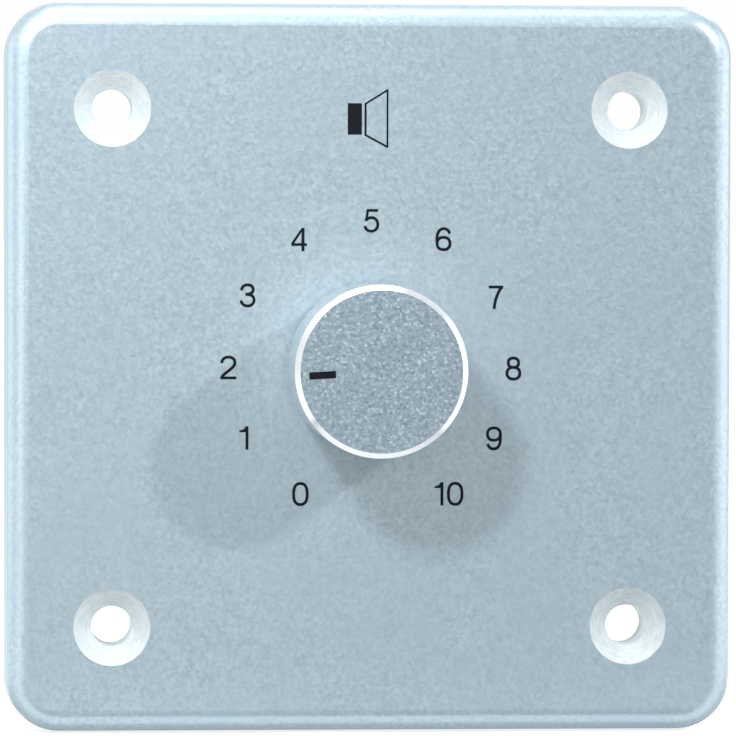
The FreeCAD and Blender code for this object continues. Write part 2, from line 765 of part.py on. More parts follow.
def board_standoffs():
    """Hexagon spacers, each with a stud in the plate's boss and a threaded hole for the board screw."""
    foot_y = plate_inner_y + standoff_boss_height
    hole_y = board_rear_y + screw_washer_t - board_screw_length - tap_runout
    made = []
    for x, z in standoff_points:
        bar = fuse(hex_bar(x, z, standoff_flats, foot_y, board_front_y),
                   rod(x, z, screw_d, foot_y - standoff_stud_length, foot_y))
        made.append(bar.cut(rod(x, z, screw_d + 2 * thread_clear, hole_y, board_front_y + past)))
    return made


def board_washers():
    return [tube(x, z, screw_washer_d, screw_hole_d, board_rear_y, board_rear_y + screw_washer_t)
            for x, z in standoff_points]


def board_screws():
    return [pan_screw(x, z, screw_d, screw_head_d, screw_head_t, screw_slot_w, screw_slot_depth,
                      board_rear_y + screw_washer_t, board_screw_length) for x, z in standoff_points]


def solder_joints_front():
    """Solder cones on the board's front face, round the transformer pins and the terminal legs."""
    tip_y = board_front_y - solder_height
    cones = [cone(x, z, solder_top_d, solder_foot_d, tip_y, board_front_y)
             .cut(rod(x, z, bobbin_pin_d + 2 * solder_clear, tip_y - past, board_front_y + past))
             for x, z in bobbin_pin_points]
    half_x = pin_d / 2 + solder_clear
    for x in pole_xs:
        slot = box(x - half_x, x + half_x, tip_y - past, board_front_y + past,
                   leg_far_z - solder_clear, leg_near_z + solder_clear)
        cones.append(cone(x, leg_mid_z, solder_top_d + leg_t, solder_foot_d + leg_t, tip_y, board_front_y)
                     .cut(slot))
    return cones


def solder_joints_rear():
    """Solder cones on the board's rear face, round the switch pins."""
    tip_y = board_rear_y + solder_height
    return [cone(x, z, solder_foot_d, solder_top_d, board_rear_y, tip_y)
            .cut(rod(x, z, pin_d + 2 * solder_clear, board_rear_y - past, tip_y + past))
            for x, z in switch_pin_points]


# Autotransformer

def core_pack_layers():
    """The core's packs from bottom to top: lower face, upper face and whether the pack is turned over."""
    pack_t = core_stack / core_pack_count
    bottom_z = -core_stack / 2
    return [(bottom_z + number * pack_t, bottom_z + (number + 1) * pack_t, number % 2 == 1)
            for number in range(core_pack_count)]


def core_e_plates():
    """E-shaped packs, laid with their backs to the front and to the rear in turn."""
    packs = []
    for z0, z1, turned_over in core_pack_layers():
        front_y = window_front_y if turned_over else core_front_edge_y
        rear_y = core_rear_edge_y if turned_over else window_rear_y
        pack = box(-core_half_x, core_half_x, front_y, rear_y, z0, z1)
        for side in (-1, 1):
            near, far = sorted((side * core_leg, side * window_outer_x))
            pack = pack.cut(box(near, far, window_front_y, window_rear_y, z0, z1))
        packs.append(pack)
    return packs


def core_i_plates():
    """Bar-shaped packs that close the open side of each E."""
    packs = []
    for z0, z1, turned_over in core_pack_layers():
        front_y = core_front_edge_y if turned_over else window_rear_y
        packs.append(box(-core_half_x, core_half_x, front_y, front_y + core_leg, z0, z1))
    return packs


def coil_bobbin():
    tube_block = box(-tube_outer_x, tube_outer_x, bobbin_front_y, bobbin_rear_y, -tube_outer_z, tube_outer_z)
    added = []
    for y0 in (bobbin_front_y, bobbin_rear_y - bobbin_flange_t):
        added.append(box(-bobbin_half_x, bobbin_half_x, y0, y0 + bobbin_flange_t,
                         -bobbin_half_z, bobbin_half_z))
    shelf_front_y = board_rear_y + shelf_board_gap
    foot_x = bobbin_half_x - shelf_foot_width
    for side in (-1, 1):
        z0, z1 = sorted((side * shelf_start_z, side * bobbin_half_z))
        added.append(box(-bobbin_half_x, bobbin_half_x, shelf_front_y, bobbin_front_y, z0, z1))
        added.append(box(-bobbin_half_x, -foot_x, board_rear_y, shelf_front_y, z0, z1))
        added.append(box(foot_x, bobbin_half_x, board_rear_y, shelf_front_y, z0, z1))
    bobbin = fuse(tube_block, *added)
    bore = box(-tube_inner_x, tube_inner_x, bobbin_front_y - past, bobbin_rear_y + past,
               -tube_inner_z, tube_inner_z)
    pin_top_y = shelf_front_y + bobbin_pin_bury
    pin_holes = [rod(x, z, bobbin_pin_d + 2 * press_clear, board_rear_y - past, pin_top_y)
                 for x, z in bobbin_pin_points]
    return bobbin.cut([bore] + pin_holes)


def bobbin_pins():
    pin_top_y = board_rear_y + shelf_board_gap + bobbin_pin_bury
    return [rod(x, z, bobbin_pin_d, pin_tip_front_y, pin_top_y) for x, z in bobbin_pin_points]


def coil_winding():
    """The wound copper, filling the bobbin between its flanges."""
    outer = rounded_block(winding_half_x, winding_half_z, winding_corner_r, winding_front_y, winding_rear_y)
    return outer.cut(box(-tube_outer_x, tube_outer_x, winding_front_y - past, winding_rear_y + past,
                         -tube_outer_z, tube_outer_z))


def coil_tape():
    outer = rounded_block(winding_half_x + tape_t, winding_half_z + tape_t, winding_corner_r + tape_t,
                          winding_front_y, winding_rear_y)
    return outer.cut(rounded_block(winding_half_x, winding_half_z, winding_corner_r,
                                   winding_front_y - past, winding_rear_y + past))


def core_strap():
    """Bent steel strap round the core's rear end, with a foot on the board at each side."""
    rear_y = core_rear_edge_y + strap_t
    half_w = strap_width / 2
    outline_points = [
        V(-strap_foot_x, board_rear_y, -half_w),
        V(-strap_inner_x, board_rear_y, -half_w),
        V(-strap_inner_x, core_rear_edge_y, -half_w),
        V(strap_inner_x, core_rear_edge_y, -half_w),
        V(strap_inner_x, board_rear_y, -half_w),
        V(strap_foot_x, board_rear_y, -half_w),
        V(strap_foot_x, strap_foot_rear_y, -half_w),
        V(strap_outer_x, strap_foot_rear_y, -half_w),
        V(strap_outer_x, rear_y, -half_w),
        V(-strap_outer_x, rear_y, -half_w),
        V(-strap_outer_x, strap_foot_rear_y, -half_w),
        V(-strap_foot_x, strap_foot_rear_y, -half_w),
    ]
    strap = outline(outline_points, V(0, 0, strap_width))
    bends = [(strap_outer_x, rear_y), (strap_inner_x, board_rear_y)]
    bent_edges = [edge for edge in strap.Edges for x, y in bends
                  if abs(abs(edge.CenterOfMass.x) - x) < 0.001 and abs(edge.CenterOfMass.y - y) < 0.001
                  and edge.BoundBox.ZLength > strap_width / 2]
    strap = strap.makeFillet(strap_bend_r, bent_edges)
    holes = [rod(x, z, screw_hole_d, board_rear_y - past, strap_foot_rear_y + past)
             for x, z in strap_hole_points]
    return strap.cut(holes)


def strap_screws():
    return [pan_screw(x, z, screw_d, screw_head_d, screw_head_t, screw_slot_w, screw_slot_depth,
                      strap_foot_rear_y, strap_screw_length) for x, z in strap_hole_points]


def strap_nuts():
    return [chamfered_nut(x, z, small_nut_flats, screw_d + 2 * thread_clear,
                          board_front_y - small_nut_t, board_front_y) for x, z in strap_hole_points]


# Terminal block

def terminal_housing():
    housing = box(-block_half_x, block_half_x, board_rear_y, block_rear_y, block_far_z, block_near_z)
    rear_edge = [edge for edge in edges_at(housing, block_rear_y)
                 if edge.BoundBox.ZMax < block_far_z + 0.001]
    housing = housing.makeChamfer(block_chamfer, rear_edge)
    removed = []
    head_hole_d = clamp_head_d + 2 * clamp_head_clear
    for x in pole_xs:
        half = chamber_width / 2
        removed.append(box(x - half, x + half, chamber_front_y, chamber_rear_y,
                           chamber_far_z, chamber_near_z))
        entry_half = entry_size / 2
        removed.append(box(x - entry_half, x + entry_half, entry_front_y, tongue_front_y,
                           block_far_z - past, chamber_far_z + past))
        removed.append(rod(x, clamp_z, clamp_screw_d + 2 * hole_clear,
                           chamber_rear_y - past, block_rear_y + past))
        removed.append(rod(x, clamp_z, head_hole_d, ledge_rear_y, block_rear_y + past))
        half_leg = pin_d / 2 + touch_clear
        removed.append(box(x - half_leg, x + half_leg, board_rear_y - past, chamber_front_y + past,
                           leg_far_z - touch_clear, leg_near_z + touch_clear))
    return housing.cut(removed)


def terminal_pins():
    """Bent strips: a tongue that the wire is pressed against, and a leg down through the board."""
    made = []
    for x in pole_xs:
        half_w = tongue_half_x
        tongue = box(x - half_w, x + half_w, tongue_front_y, tongue_rear_y, cage_far_z, leg_near_z)
        upper_leg = box(x - half_w, x + half_w, chamber_front_y + touch_clear, tongue_front_y,
                        leg_far_z, leg_near_z)
        lower_leg = box(x - pin_d / 2, x + pin_d / 2, pin_tip_front_y, chamber_front_y + touch_clear,
                        leg_far_z, leg_near_z)
        made.append(fuse(tongue, upper_leg, lower_leg))
    return made


def terminal_cage(x):
    """Rising clamp: a square loop round the tongue, threaded in its rear wall for the screw."""
    cage = box(x - cage_half_x, x + cage_half_x, cage_front_y, cage_rear_y, cage_far_z, cage_near_z)
    inner = cage_half_x - cage_wall_t
    opening = box(x - inner, x + inner, cage_front_y + cage_wall_t, cage_rear_y - cage_top_t,
                  cage_far_z - past, cage_near_z + past)
    thread = rod(x, clamp_z, clamp_screw_d + 2 * thread_clear,
                 cage_rear_y - cage_top_t - past, cage_rear_y + past)
    return cage.cut([opening, thread])


def terminal_screw(x):
    length = clamp_seat_y - tongue_rear_y - touch_clear
    return pan_screw(x, clamp_z, clamp_screw_d, clamp_head_d, clamp_head_t, clamp_slot_w,
                     clamp_slot_depth, clamp_seat_y, length)


def all_nodes():
    """Every sub-part by name, with its solids."""
    nodes = {
        "front_plate": [front_plate()],
        "knob_shell": [knob_shell()],
        "knob_core": [knob_core()],
        "knob_pointer": [turned_to_rest(pointer_bar())],
        "knob_grub_screw": [knob_grub_screw()],
        "switch_shaft": [switch_shaft()],
        "shaft_circlip": [shaft_circlip()],
        "detent_rotor": [detent_rotor()],
        "detent_balls": detent_balls(),
        "detent_springs": detent_springs(),
        "wiper_contact": [wiper_contact()],
        "switch_housing": [switch_housing()],
        "switch_bushing": [switch_bushing()],
        "bushing_washer": [bushing_washer()],
        "bushing_nut": [bushing_nut()],
        "stop_ring": [stop_ring()],
        "switch_base": [switch_base()],
        "switch_contacts": switch_contacts(),
        "common_contact": [common_contact()],
        "switch_screws": switch_screws(),
        "circuit_board": [circuit_board()],
        "board_standoffs": board_standoffs(),
        "board_washers": board_washers(),
        "board_screws": board_screws(),
        "solder_joints_front": solder_joints_front(),
        "solder_joints_rear": solder_joints_rear(),
        "core_e_plates": core_e_plates(),
        "core_i_plates": core_i_plates(),
        "coil_bobbin": [coil_bobbin()],
        "coil_winding": [coil_winding()],
        "coil_tape": [coil_tape()],
        "bobbin_pins": bobbin_pins(),
        "core_strap": [core_strap()],
        "strap_screws": strap_screws(),
        "strap_nuts": strap_nuts(),
        "terminal_housing": [terminal_housing()],
        "terminal_pins": terminal_pins(),
    }
    for number, x in enumerate(pole_xs, start=1):
        nodes["terminal_screw_%d" % number] = [terminal_screw(x)]
        nodes["terminal_cage_%d" % number] = [terminal_cage(x)]
    return nodes


for name, solids in all_nodes().items():
    shape = solids[0] if len(solids) == 1 else Part.makeCompound(solids)
    shape.exportStep("parts/" + name + ".step")
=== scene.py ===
import math
import random

import bmesh
import bpy
from mathutils import Matrix, Vector
from mathutils.geometry import delaunay_2d_cdt


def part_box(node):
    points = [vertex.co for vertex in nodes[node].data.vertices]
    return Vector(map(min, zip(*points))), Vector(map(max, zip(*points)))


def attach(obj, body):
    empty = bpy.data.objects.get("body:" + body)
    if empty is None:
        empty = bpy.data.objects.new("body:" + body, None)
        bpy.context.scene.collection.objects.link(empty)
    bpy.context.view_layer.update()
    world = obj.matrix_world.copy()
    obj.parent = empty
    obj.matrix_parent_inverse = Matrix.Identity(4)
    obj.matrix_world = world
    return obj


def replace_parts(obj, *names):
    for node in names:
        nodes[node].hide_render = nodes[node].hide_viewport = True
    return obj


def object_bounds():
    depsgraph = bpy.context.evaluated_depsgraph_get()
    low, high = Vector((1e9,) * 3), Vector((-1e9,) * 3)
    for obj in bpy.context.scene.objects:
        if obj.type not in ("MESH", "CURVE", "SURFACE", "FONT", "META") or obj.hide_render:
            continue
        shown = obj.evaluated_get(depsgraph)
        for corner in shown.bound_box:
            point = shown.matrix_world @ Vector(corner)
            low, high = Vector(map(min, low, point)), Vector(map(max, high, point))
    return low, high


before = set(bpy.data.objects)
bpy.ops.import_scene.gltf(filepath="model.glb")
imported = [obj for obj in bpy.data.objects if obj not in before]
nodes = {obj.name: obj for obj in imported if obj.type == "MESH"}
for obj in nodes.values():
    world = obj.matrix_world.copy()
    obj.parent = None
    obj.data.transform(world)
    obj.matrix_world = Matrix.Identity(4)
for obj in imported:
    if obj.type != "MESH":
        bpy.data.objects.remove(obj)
cad_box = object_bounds()
scene = bpy.context.scene

# Sizes and places of the object are in millimetres and are turned into metres where a mesh is made.
# Those of the studio's floor and lamps are in metres.
# X runs to the right seen from the front, Y into the wall and Z up.
MM = 0.001


# Materials

def linear(red, green, blue):
    """A colour given as screen values from 0 to 255, as the linear values that a shader takes."""
    def one(value):
        share = value / 255
        return share / 12.92 if share <= 0.04045 else ((share + 0.055) / 1.055) ** 2.4

    return one(red), one(green), one(blue), 1.0


class Finish:
    """A material whose colour, roughness and relief are built up from layers of texture."""

    def __init__(self, name, colour, roughness, metallic=0.0, **sockets):
        self.material = bpy.data.materials.new(name)
        self.material.use_nodes = True
        self.tree = self.material.node_tree
        self.shader = self.tree.nodes["Principled BSDF"]
        self.shader.inputs["Base Color"].default_value = colour
        self.shader.inputs["Roughness"].default_value = roughness
        self.shader.inputs["Metallic"].default_value = metallic
        for socket, value in sockets.items():
            self.shader.inputs[socket.replace("_", " ")].default_value = value
        self.colour = colour
        self.normal = None

    def node(self, kind, **settings):
        """Adds a node. A setting is one of its properties or, with _ for a space, one of its inputs."""
        made = self.tree.nodes.new(kind)
        for key, value in settings.items():
            if hasattr(made, key):
                setattr(made, key, value)
            else:
                made.inputs[key.replace("_", " ")].default_value = value
        return made

    def link(self, source, target):
        self.tree.links.new(source, target)

    def pattern(self, kind, size, stretch=(1, 1, 1), detail=2.0, turn=(0, 0, 0)):
        """A value from 0 to 1 that varies over about the given size in millimetres.

        kind is noise, grains, weave, or lines that run across Y.
        """
        place = self.node("ShaderNodeTexCoord")
        mapping = self.node("ShaderNodeMapping")
        mapping.inputs["Rotation"].default_value = turn
        mapping.inputs["Scale"].default_value = [s / (size * MM) for s in stretch]
        self.link(place.outputs["Object"], mapping.inputs["Vector"])
        output = "Fac"
        if kind == "noise":
            texture = self.node("ShaderNodeTexNoise", Scale=1.0, Detail=detail, Roughness=0.55)
        elif kind == "grains":
            texture = self.node("ShaderNodeTexVoronoi", Scale=1.0)
            output = "Color"
        elif kind == "weave":
            texture = self.node("ShaderNodeTexBrick", Scale=1.0, offset=0.5, Brick_Width=1.0, Row_Height=1.0,
                                Mortar_Size=0.12, Mortar_Smooth=1.0)
        elif kind == "lines":
            texture = self.node("ShaderNodeTexWave", wave_type="BANDS", bands_direction="Y",
                                Scale=2 / math.tau, Distortion=0.0, Detail=0.0)
        self.link(mapping.outputs["Vector"], texture.inputs["Vector"])
        if output == "Fac":
            return texture.outputs["Fac"]
        split = self.node("ShaderNodeSeparateColor")
        self.link(texture.outputs[output], split.inputs["Color"])
        return split.outputs["Red"]

    def spread(self, value, low, high, lowest=0.0, highest=1.0):
        """The value stretched from low..high to lowest..highest, and held there."""
        stretch = self.node("ShaderNodeMapRange", clamp=True, From_Min=low, From_Max=high,
                            To_Min=lowest, To_Max=highest)
        self.link(value, stretch.inputs["Value"])
        return stretch.outputs["Result"]

    def tone(self, value, low, high, other):
        """Goes from the colour so far to another one as the value goes from low to high."""
        mix = self.node("ShaderNodeMix", data_type="RGBA")
        share = self.spread(value, low, high)
        self.link(share, mix.inputs["Factor"])
        base = self.shader.inputs["Base Color"]
        if base.is_linked:
            self.link(base.links[0].from_socket, mix.inputs["A"])
        else:
            mix.inputs["A"].default_value = self.colour
        mix.inputs["B"].default_value = other
        self.link(mix.outputs["Result"], base)

    def shine(self, value, low, high, rough_low, rough_high):
        """Sets the roughness between two values as the pattern goes from low to high."""
        self.link(self.spread(value, low, high, rough_low, rough_high), self.shader.inputs["Roughness"])

    def relief(self, value, depth):
        """Raises the surface by the given depth in millimetres where the value is 1."""
        bump = self.node("ShaderNodeBump", Strength=1.0, Distance=depth * MM)
        self.link(value, bump.inputs["Height"])
        if self.normal is not None:
            self.link(self.normal, bump.inputs["Normal"])
        self.normal = bump.outputs["Normal"]
        self.link(self.normal, self.shader.inputs["Normal"])

    def rounded(self, radius):
        """Rounds the look of sharp edges by the given radius in millimetres."""
        bevel = self.node("ShaderNodeBevel", Radius=radius * MM, samples=6)
        self.normal = bevel.outputs["Normal"]
        self.link(self.normal, self.shader.inputs["Normal"])


def plate_paint():
    """Silver metallic paint: grain, single bright flakes and a slow change of tone."""
    f = Finish("plate_paint", linear(184, 204, 214), 0.31, 0.58)
    grain = f.pattern("noise", 0.46, detail=2.0)
    flakes = f.pattern("grains", 0.30)
    f.tone(grain, 0.50, 0.76, linear(198, 217, 227))
    f.tone(grain, 0.48, 0.26, linear(170, 190, 201))
    f.tone(flakes, 0.86, 1.0, linear(194, 213, 222))
    f.tone(f.pattern("noise", 14.0, detail=2.0), 0.40, 0.80, linear(183, 204, 216))
    f.shine(flakes, 0.0, 1.0, 0.31, 0.39)
    f.relief(grain, 0.006)
    f.relief(f.pattern("noise", 2.2, detail=1.0), 0.008)
    return f.material


def bored_metal():
    """Bright metal with the rings that a countersink leaves."""
    f = Finish("plate_bored", linear(241, 248, 250), 0.38, 0.05)
    turned = f.pattern("noise", 0.16, stretch=(0.15, 1, 0.15), detail=2.0)
    f.tone(turned, 0.35, 0.68, linear(216, 229, 235))
    f.tone(f.pattern("noise", 1.4, detail=2.0), 0.45, 0.80, linear(219, 232, 237))
    f.shine(turned, 0.3, 0.7, 0.34, 0.46)
    f.relief(turned, 0.0025)
    return f.material


def cast_metal():
    """Bare casting, clouded and pitted."""
    f = Finish("plate_cast", linear(164, 170, 174), 0.52, 0.55)
    f.tone(f.pattern("noise", 6.0, detail=4.0), 0.35, 0.75, linear(138, 144, 149))
    f.tone(f.pattern("noise", 0.5, detail=2.0), 0.55, 0.80, linear(188, 193, 197))
    f.shine(f.pattern("noise", 3.0), 0.3, 0.7, 0.45, 0.68)
    f.relief(f.pattern("noise", 0.8, detail=4.0), 0.04)
    return f.material


def knob_face():
    """Blasted aluminium: dark and bright grit."""
    f = Finish("knob_face", linear(150, 168, 179), 0.46, 0.70)
    grit = f.pattern("grains", 0.25)
    coarse = f.pattern("noise", 0.50, detail=3.0)
    f.tone(coarse, 0.47, 0.28, linear(128, 146, 158))
    f.tone(coarse, 0.53, 0.74, linear(178, 197, 208))
    f.tone(grit, 0.82, 1.0, linear(181, 199, 209))
    f.tone(grit, 0.14, 0.0, linear(134, 152, 163))
    f.shine(grit, 0.0, 1.0, 0.42, 0.53)
    f.relief(f.pattern("noise", 0.36, detail=2.0), 0.013)
    return f.material


def knob_bright():
    """Bright turned aluminium with fine rings."""
    f = Finish("knob_bright", linear(236, 240, 243), 0.17, 1.0)
    f.rounded(0.06)
    turned = f.pattern("noise", 0.05, stretch=(0.002, 1, 0.002), detail=1.0)
    f.tone(turned, 0.3, 0.7, linear(222, 228, 233))
    f.shine(turned, 0.3, 0.7, 0.12, 0.24)
    f.relief(turned, 0.0016)
    return f.material


def moulded(name, colour, speck, roughness=0.5, edge=0.08, **sockets):
    """Moulded plastic: fine spark-eroded texture, a little mottling and softened edges."""
    f = Finish(name, colour, roughness, **sockets)
    f.rounded(edge)
    f.tone(f.pattern("noise", 2.5, detail=4.0), 0.35, 0.75, speck)
    f.shine(f.pattern("noise", 0.5, detail=3.0), 0.3, 0.7, roughness - 0.07, roughness + 0.09)
    f.relief(f.pattern("noise", 0.12, detail=2.0), 0.006)
    return f.material


def plated(name, colour, cloud, roughness=0.28, grain=(1, 1, 1), edge=0.05):
    """Plated or bare metal: clouds in the plating, marks of drawing or tumbling, and softened edges."""
    f = Finish(name, colour, roughness, 1.0)
    f.rounded(edge)
    f.tone(f.pattern("noise", 1.6, detail=4.0), 0.38, 0.72, cloud)
    marks = f.pattern("noise", 0.12, stretch=grain, detail=3.0)
    f.shine(marks, 0.3, 0.7, roughness - 0.08, roughness + 0.14)
    f.relief(marks, 0.0025)
    return f.material


def board_mask(name, colour, deep):
    """Glossy lacquer over the weave of the board."""
    f = Finish(name, colour, 0.22, Coat_Weight=0.5, Coat_Roughness=0.12)
    f.tone(f.pattern("noise", 3.5, detail=3.0), 0.3, 0.75, deep)
    weave = f.pattern("weave", 0.8, turn=(math.pi / 2, 0, 0))
    f.tone(weave, 0.0, 1.0, deep)
    f.relief(weave, 0.006)
    f.relief(f.pattern("noise", 0.9), 0.006)
    return f.material


def laminate_edge():
    """Cut edge of the board, with its layers of glass cloth."""
    f = Finish("board_laminate", linear(168, 160, 96), 0.62)
    layers = f.pattern("noise", 0.18, stretch=(0.12, 1, 0.12), detail=3.0)
    f.tone(layers, 0.35, 0.65, linear(118, 116, 60))
    f.tone(f.pattern("noise", 0.6, detail=2.0), 0.6, 0.8, linear(206, 198, 150))
    f.relief(layers, 0.03)
    return f.material


def core_sheet():
    """Varnished steel sheets with scuffed edges."""
    f = Finish("core_steel", linear(72, 70, 72), 0.38, 0.80)
    f.rounded(0.04)
    varnish = f.pattern("noise", 2.4, detail=4.0)
    f.tone(varnish, 0.40, 0.70, linear(58, 46, 36))
    f.tone(f.pattern("noise", 0.35, stretch=(0.5, 0.5, 3), detail=3.0), 0.62, 0.82, linear(124, 112, 100))
    f.shine(varnish, 0.3, 0.7, 0.28, 0.50)
    f.relief(f.pattern("noise", 0.25, detail=3.0), 0.010)
    return f.material


def copper_wire():
    """Lacquered copper, wound turn by turn."""
    f = Finish("winding_copper", linear(176, 92, 44), 0.24, 1.0, Coat_Weight=0.6, Coat_Roughness=0.1)
    turns = f.pattern("lines", 0.33)
    f.tone(f.pattern("noise", 1.2, detail=3.0), 0.35, 0.7, linear(142, 62, 26))
    f.tone(turns, 0.0, 0.35, linear(96, 40, 18))
    f.relief(turns, 0.05)
    return f.material


def copper_lead():
    """Lacquered copper of a single wire."""
    f = Finish("lead_copper", linear(184, 98, 48), 0.24, 1.0, Coat_Weight=0.6, Coat_Roughness=0.1)
    f.tone(f.pattern("noise", 0.8, detail=3.0), 0.35, 0.7, linear(138, 58, 26))
    f.shine(f.pattern("noise", 0.3), 0.3, 0.7, 0.18, 0.34)
    f.relief(f.pattern("noise", 0.2), 0.004)
    return f.material


def tape_film():
    """Yellow tape with the turns of wire showing through it."""
    f = Finish("tape_yellow", linear(228, 178, 44), 0.22, Coat_Weight=0.35, Coat_Roughness=0.15)
    under = f.pattern("noise", 0.36, stretch=(0.05, 1, 0.05), detail=1.0)
    f.tone(under, 0.40, 0.66, linear(203, 148, 34))
    f.tone(f.pattern("noise", 4.0, detail=3.0), 0.45, 0.8, linear(238, 192, 66))
    f.shine(f.pattern("noise", 1.5), 0.3, 0.7, 0.16, 0.34)
    f.relief(under, 0.03)
    f.relief(f.pattern("noise", 1.1, detail=2.0), 0.02)
    return f.material


def printed_ink(name, colour, worn):
    """Matt ink, thin in places."""
    f = Finish(name, colour, 0.45, Specular_IOR_Level=0.12)
    f.tone(f.pattern("noise", 0.22, detail=3.0), 0.62, 0.80, worn)
    f.shine(f.pattern("noise", 0.3), 0.3, 0.7, 0.38, 0.54)
    f.relief(f.pattern("noise", 0.16, detail=2.0), 0.004)
    return f.material


looks = {
    "plate_paint": plate_paint(),
    "plate_bored": bored_metal(),
    "plate_cast": cast_metal(),
    "knob_face": knob_face(),
    "knob_bright": knob_bright(),
    "ink_black": printed_ink("ink_black", linear(18, 25, 32), linear(36, 44, 52)),
    "ink_white": printed_ink("ink_white", linear(224, 226, 222), linear(196, 202, 196)),
    "pointer_black": moulded("pointer_black", linear(10, 14, 20), linear(22, 26, 33), 0.42, 0.03,
                             Specular_IOR_Level=0.15),
    "black_plastic": moulded("black_plastic", linear(28, 28, 30), linear(40, 40, 42)),
    "switch_moulding": moulded("switch_moulding", linear(30, 33, 36), linear(46, 48, 50), 0.46),
    "rotor_moulding": moulded("rotor_moulding", linear(226, 222, 208), linear(212, 205, 186), 0.40,
                              Subsurface_Weight=0.1, Subsurface_Scale=0.001),
    "bobbin_nylon": moulded("bobbin_nylon", linear(222, 216, 196), linear(204, 194, 166), 0.42,
                            Subsurface_Weight=0.12, Subsurface_Scale=0.001),
    "terminal_green": moulded("terminal_green", linear(30, 128, 72), linear(22, 108, 58), 0.40, 0.12),
    "base_laminate": moulded("base_laminate", linear(116, 70, 38), linear(84, 48, 26), 0.46),
    "bright_steel": plated("bright_steel", linear(204, 206, 208), linear(190, 193, 192), 0.27),
    "shaft_steel": plated("shaft_steel", linear(190, 192, 195), linear(168, 170, 174), 0.24, (1, 0.05, 1)),
    "spring_steel": plated("spring_steel", linear(150, 150, 153), linear(120, 120, 124), 0.3),
    "nickel_brass": plated("nickel_brass", linear(206, 198, 176), linear(184, 172, 140), 0.28),
    "contact_bronze": plated("contact_bronze", linear(208, 152, 92), linear(176, 120, 66), 0.28),
    "tinned_pins": plated("tinned_pins", linear(206, 206, 202), linear(176, 176, 172), 0.34),
    "solder": plated("solder", linear(200, 201, 203), linear(168, 170, 174), 0.22, edge=0.12),
    "board_green": board_mask("board_green", linear(24, 92, 50), linear(14, 70, 38)),
    "track_green": board_mask("track_green", linear(44, 124, 64), linear(34, 106, 54)),
    "board_laminate": laminate_edge(),
    "core_steel": core_sheet(),
    "winding_copper": copper_wire(),
    "lead_copper": copper_lead(),
    "tape_yellow": tape_film(),
}

for obj in nodes.values():
    slot_name = obj.data.materials[0].name.split(".")[0]
    if slot_name == "knob_aluminium":
        slot_name = "knob_bright"
    obj.data.materials.clear()
    obj.data.materials.append(looks[slot_name])


def second_look(node, look, chosen):
    """Gives the polygons of a node for which chosen(centre, normal) holds another material."""
    mesh = nodes[node].data
    mesh.materials.append(looks[look])
    number = len(mesh.materials) - 1
    for polygon in mesh.polygons:
        if chosen(polygon.center / MM, polygon.normal):
            polygon.material_index = number


plate_half_width, plate_corner_radius = 40.0, 6.0
# Y of the plate's inner face and of its rim, what still counts as on them, and how deep inside the outline
# its paint reaches.
inner_face_y, rim_y, close_to, painted_depth = -5.0, 0.0, 0.1, 1.2
# Each screw hole's place, and the distances from its axis within which bore, countersink and boss lie.
screw_hole_at, bore_reach, countersink_reach, boss_reach = 28.25, 2.3, 4.2, 5.5
# The knob's blasted face lies in front of this Y and within this radius.
knob_face_y, knob_face_reach = -23.4, 8.69


def from_the_screw_hole(centre):
    """How far a point lies from the axis of the nearest screw hole."""
    return math.hypot(abs(centre.x) - screw_hole_at, abs(centre.z) - screw_hole_at)


def depth_inside_the_outline(centre):
    """How far a point lies inside the plate's rounded square."""
    to_corner = plate_half_width - plate_corner_radius
    x, z = abs(centre.x) - to_corner, abs(centre.z) - to_corner
    return plate_corner_radius - math.hypot(max(x, 0), max(z, 0)) - min(max(x, z), 0)


def behind_the_face(centre, normal):
    """The inside of the plate, without its rim between the bosses."""
    at_the_rim = centre.y > rim_y - close_to and from_the_screw_hole(centre) > boss_reach
    inside = centre.y > inner_face_y - close_to and depth_inside_the_outline(centre) > painted_depth
    return inside and not (at_the_rim and normal.y > 0.9)


def in_the_screw_hole(centre, normal):
    """The side of a bore, or the slope of a countersink."""
    distance = from_the_screw_hole(centre)
    bore = distance < bore_reach and abs(normal.y) < 0.2
    sink = distance < countersink_reach and centre.y < inner_face_y and -0.9 < normal.y < -0.1
    return bore or sink


def on_the_knob_face(centre, normal):
    """The flat front of the knob, inside its chamfer."""
    from_the_shaft = math.hypot(centre.x, centre.z)
    return normal.y < -0.99 and centre.y < knob_face_y and from_the_shaft < knob_face_reach


def on_the_board_edge(centre, normal):
    """What faces out of the board's sides and holes, wherever it lies."""
    return abs(normal.y) < 0.5


second_look("front_plate", "plate_cast", behind_the_face)
second_look("front_plate", "plate_bored", in_the_screw_hole)
second_look("knob_shell", "knob_face", on_the_knob_face)
second_look("circuit_board", "board_laminate", on_the_board_edge)


# Building pieces

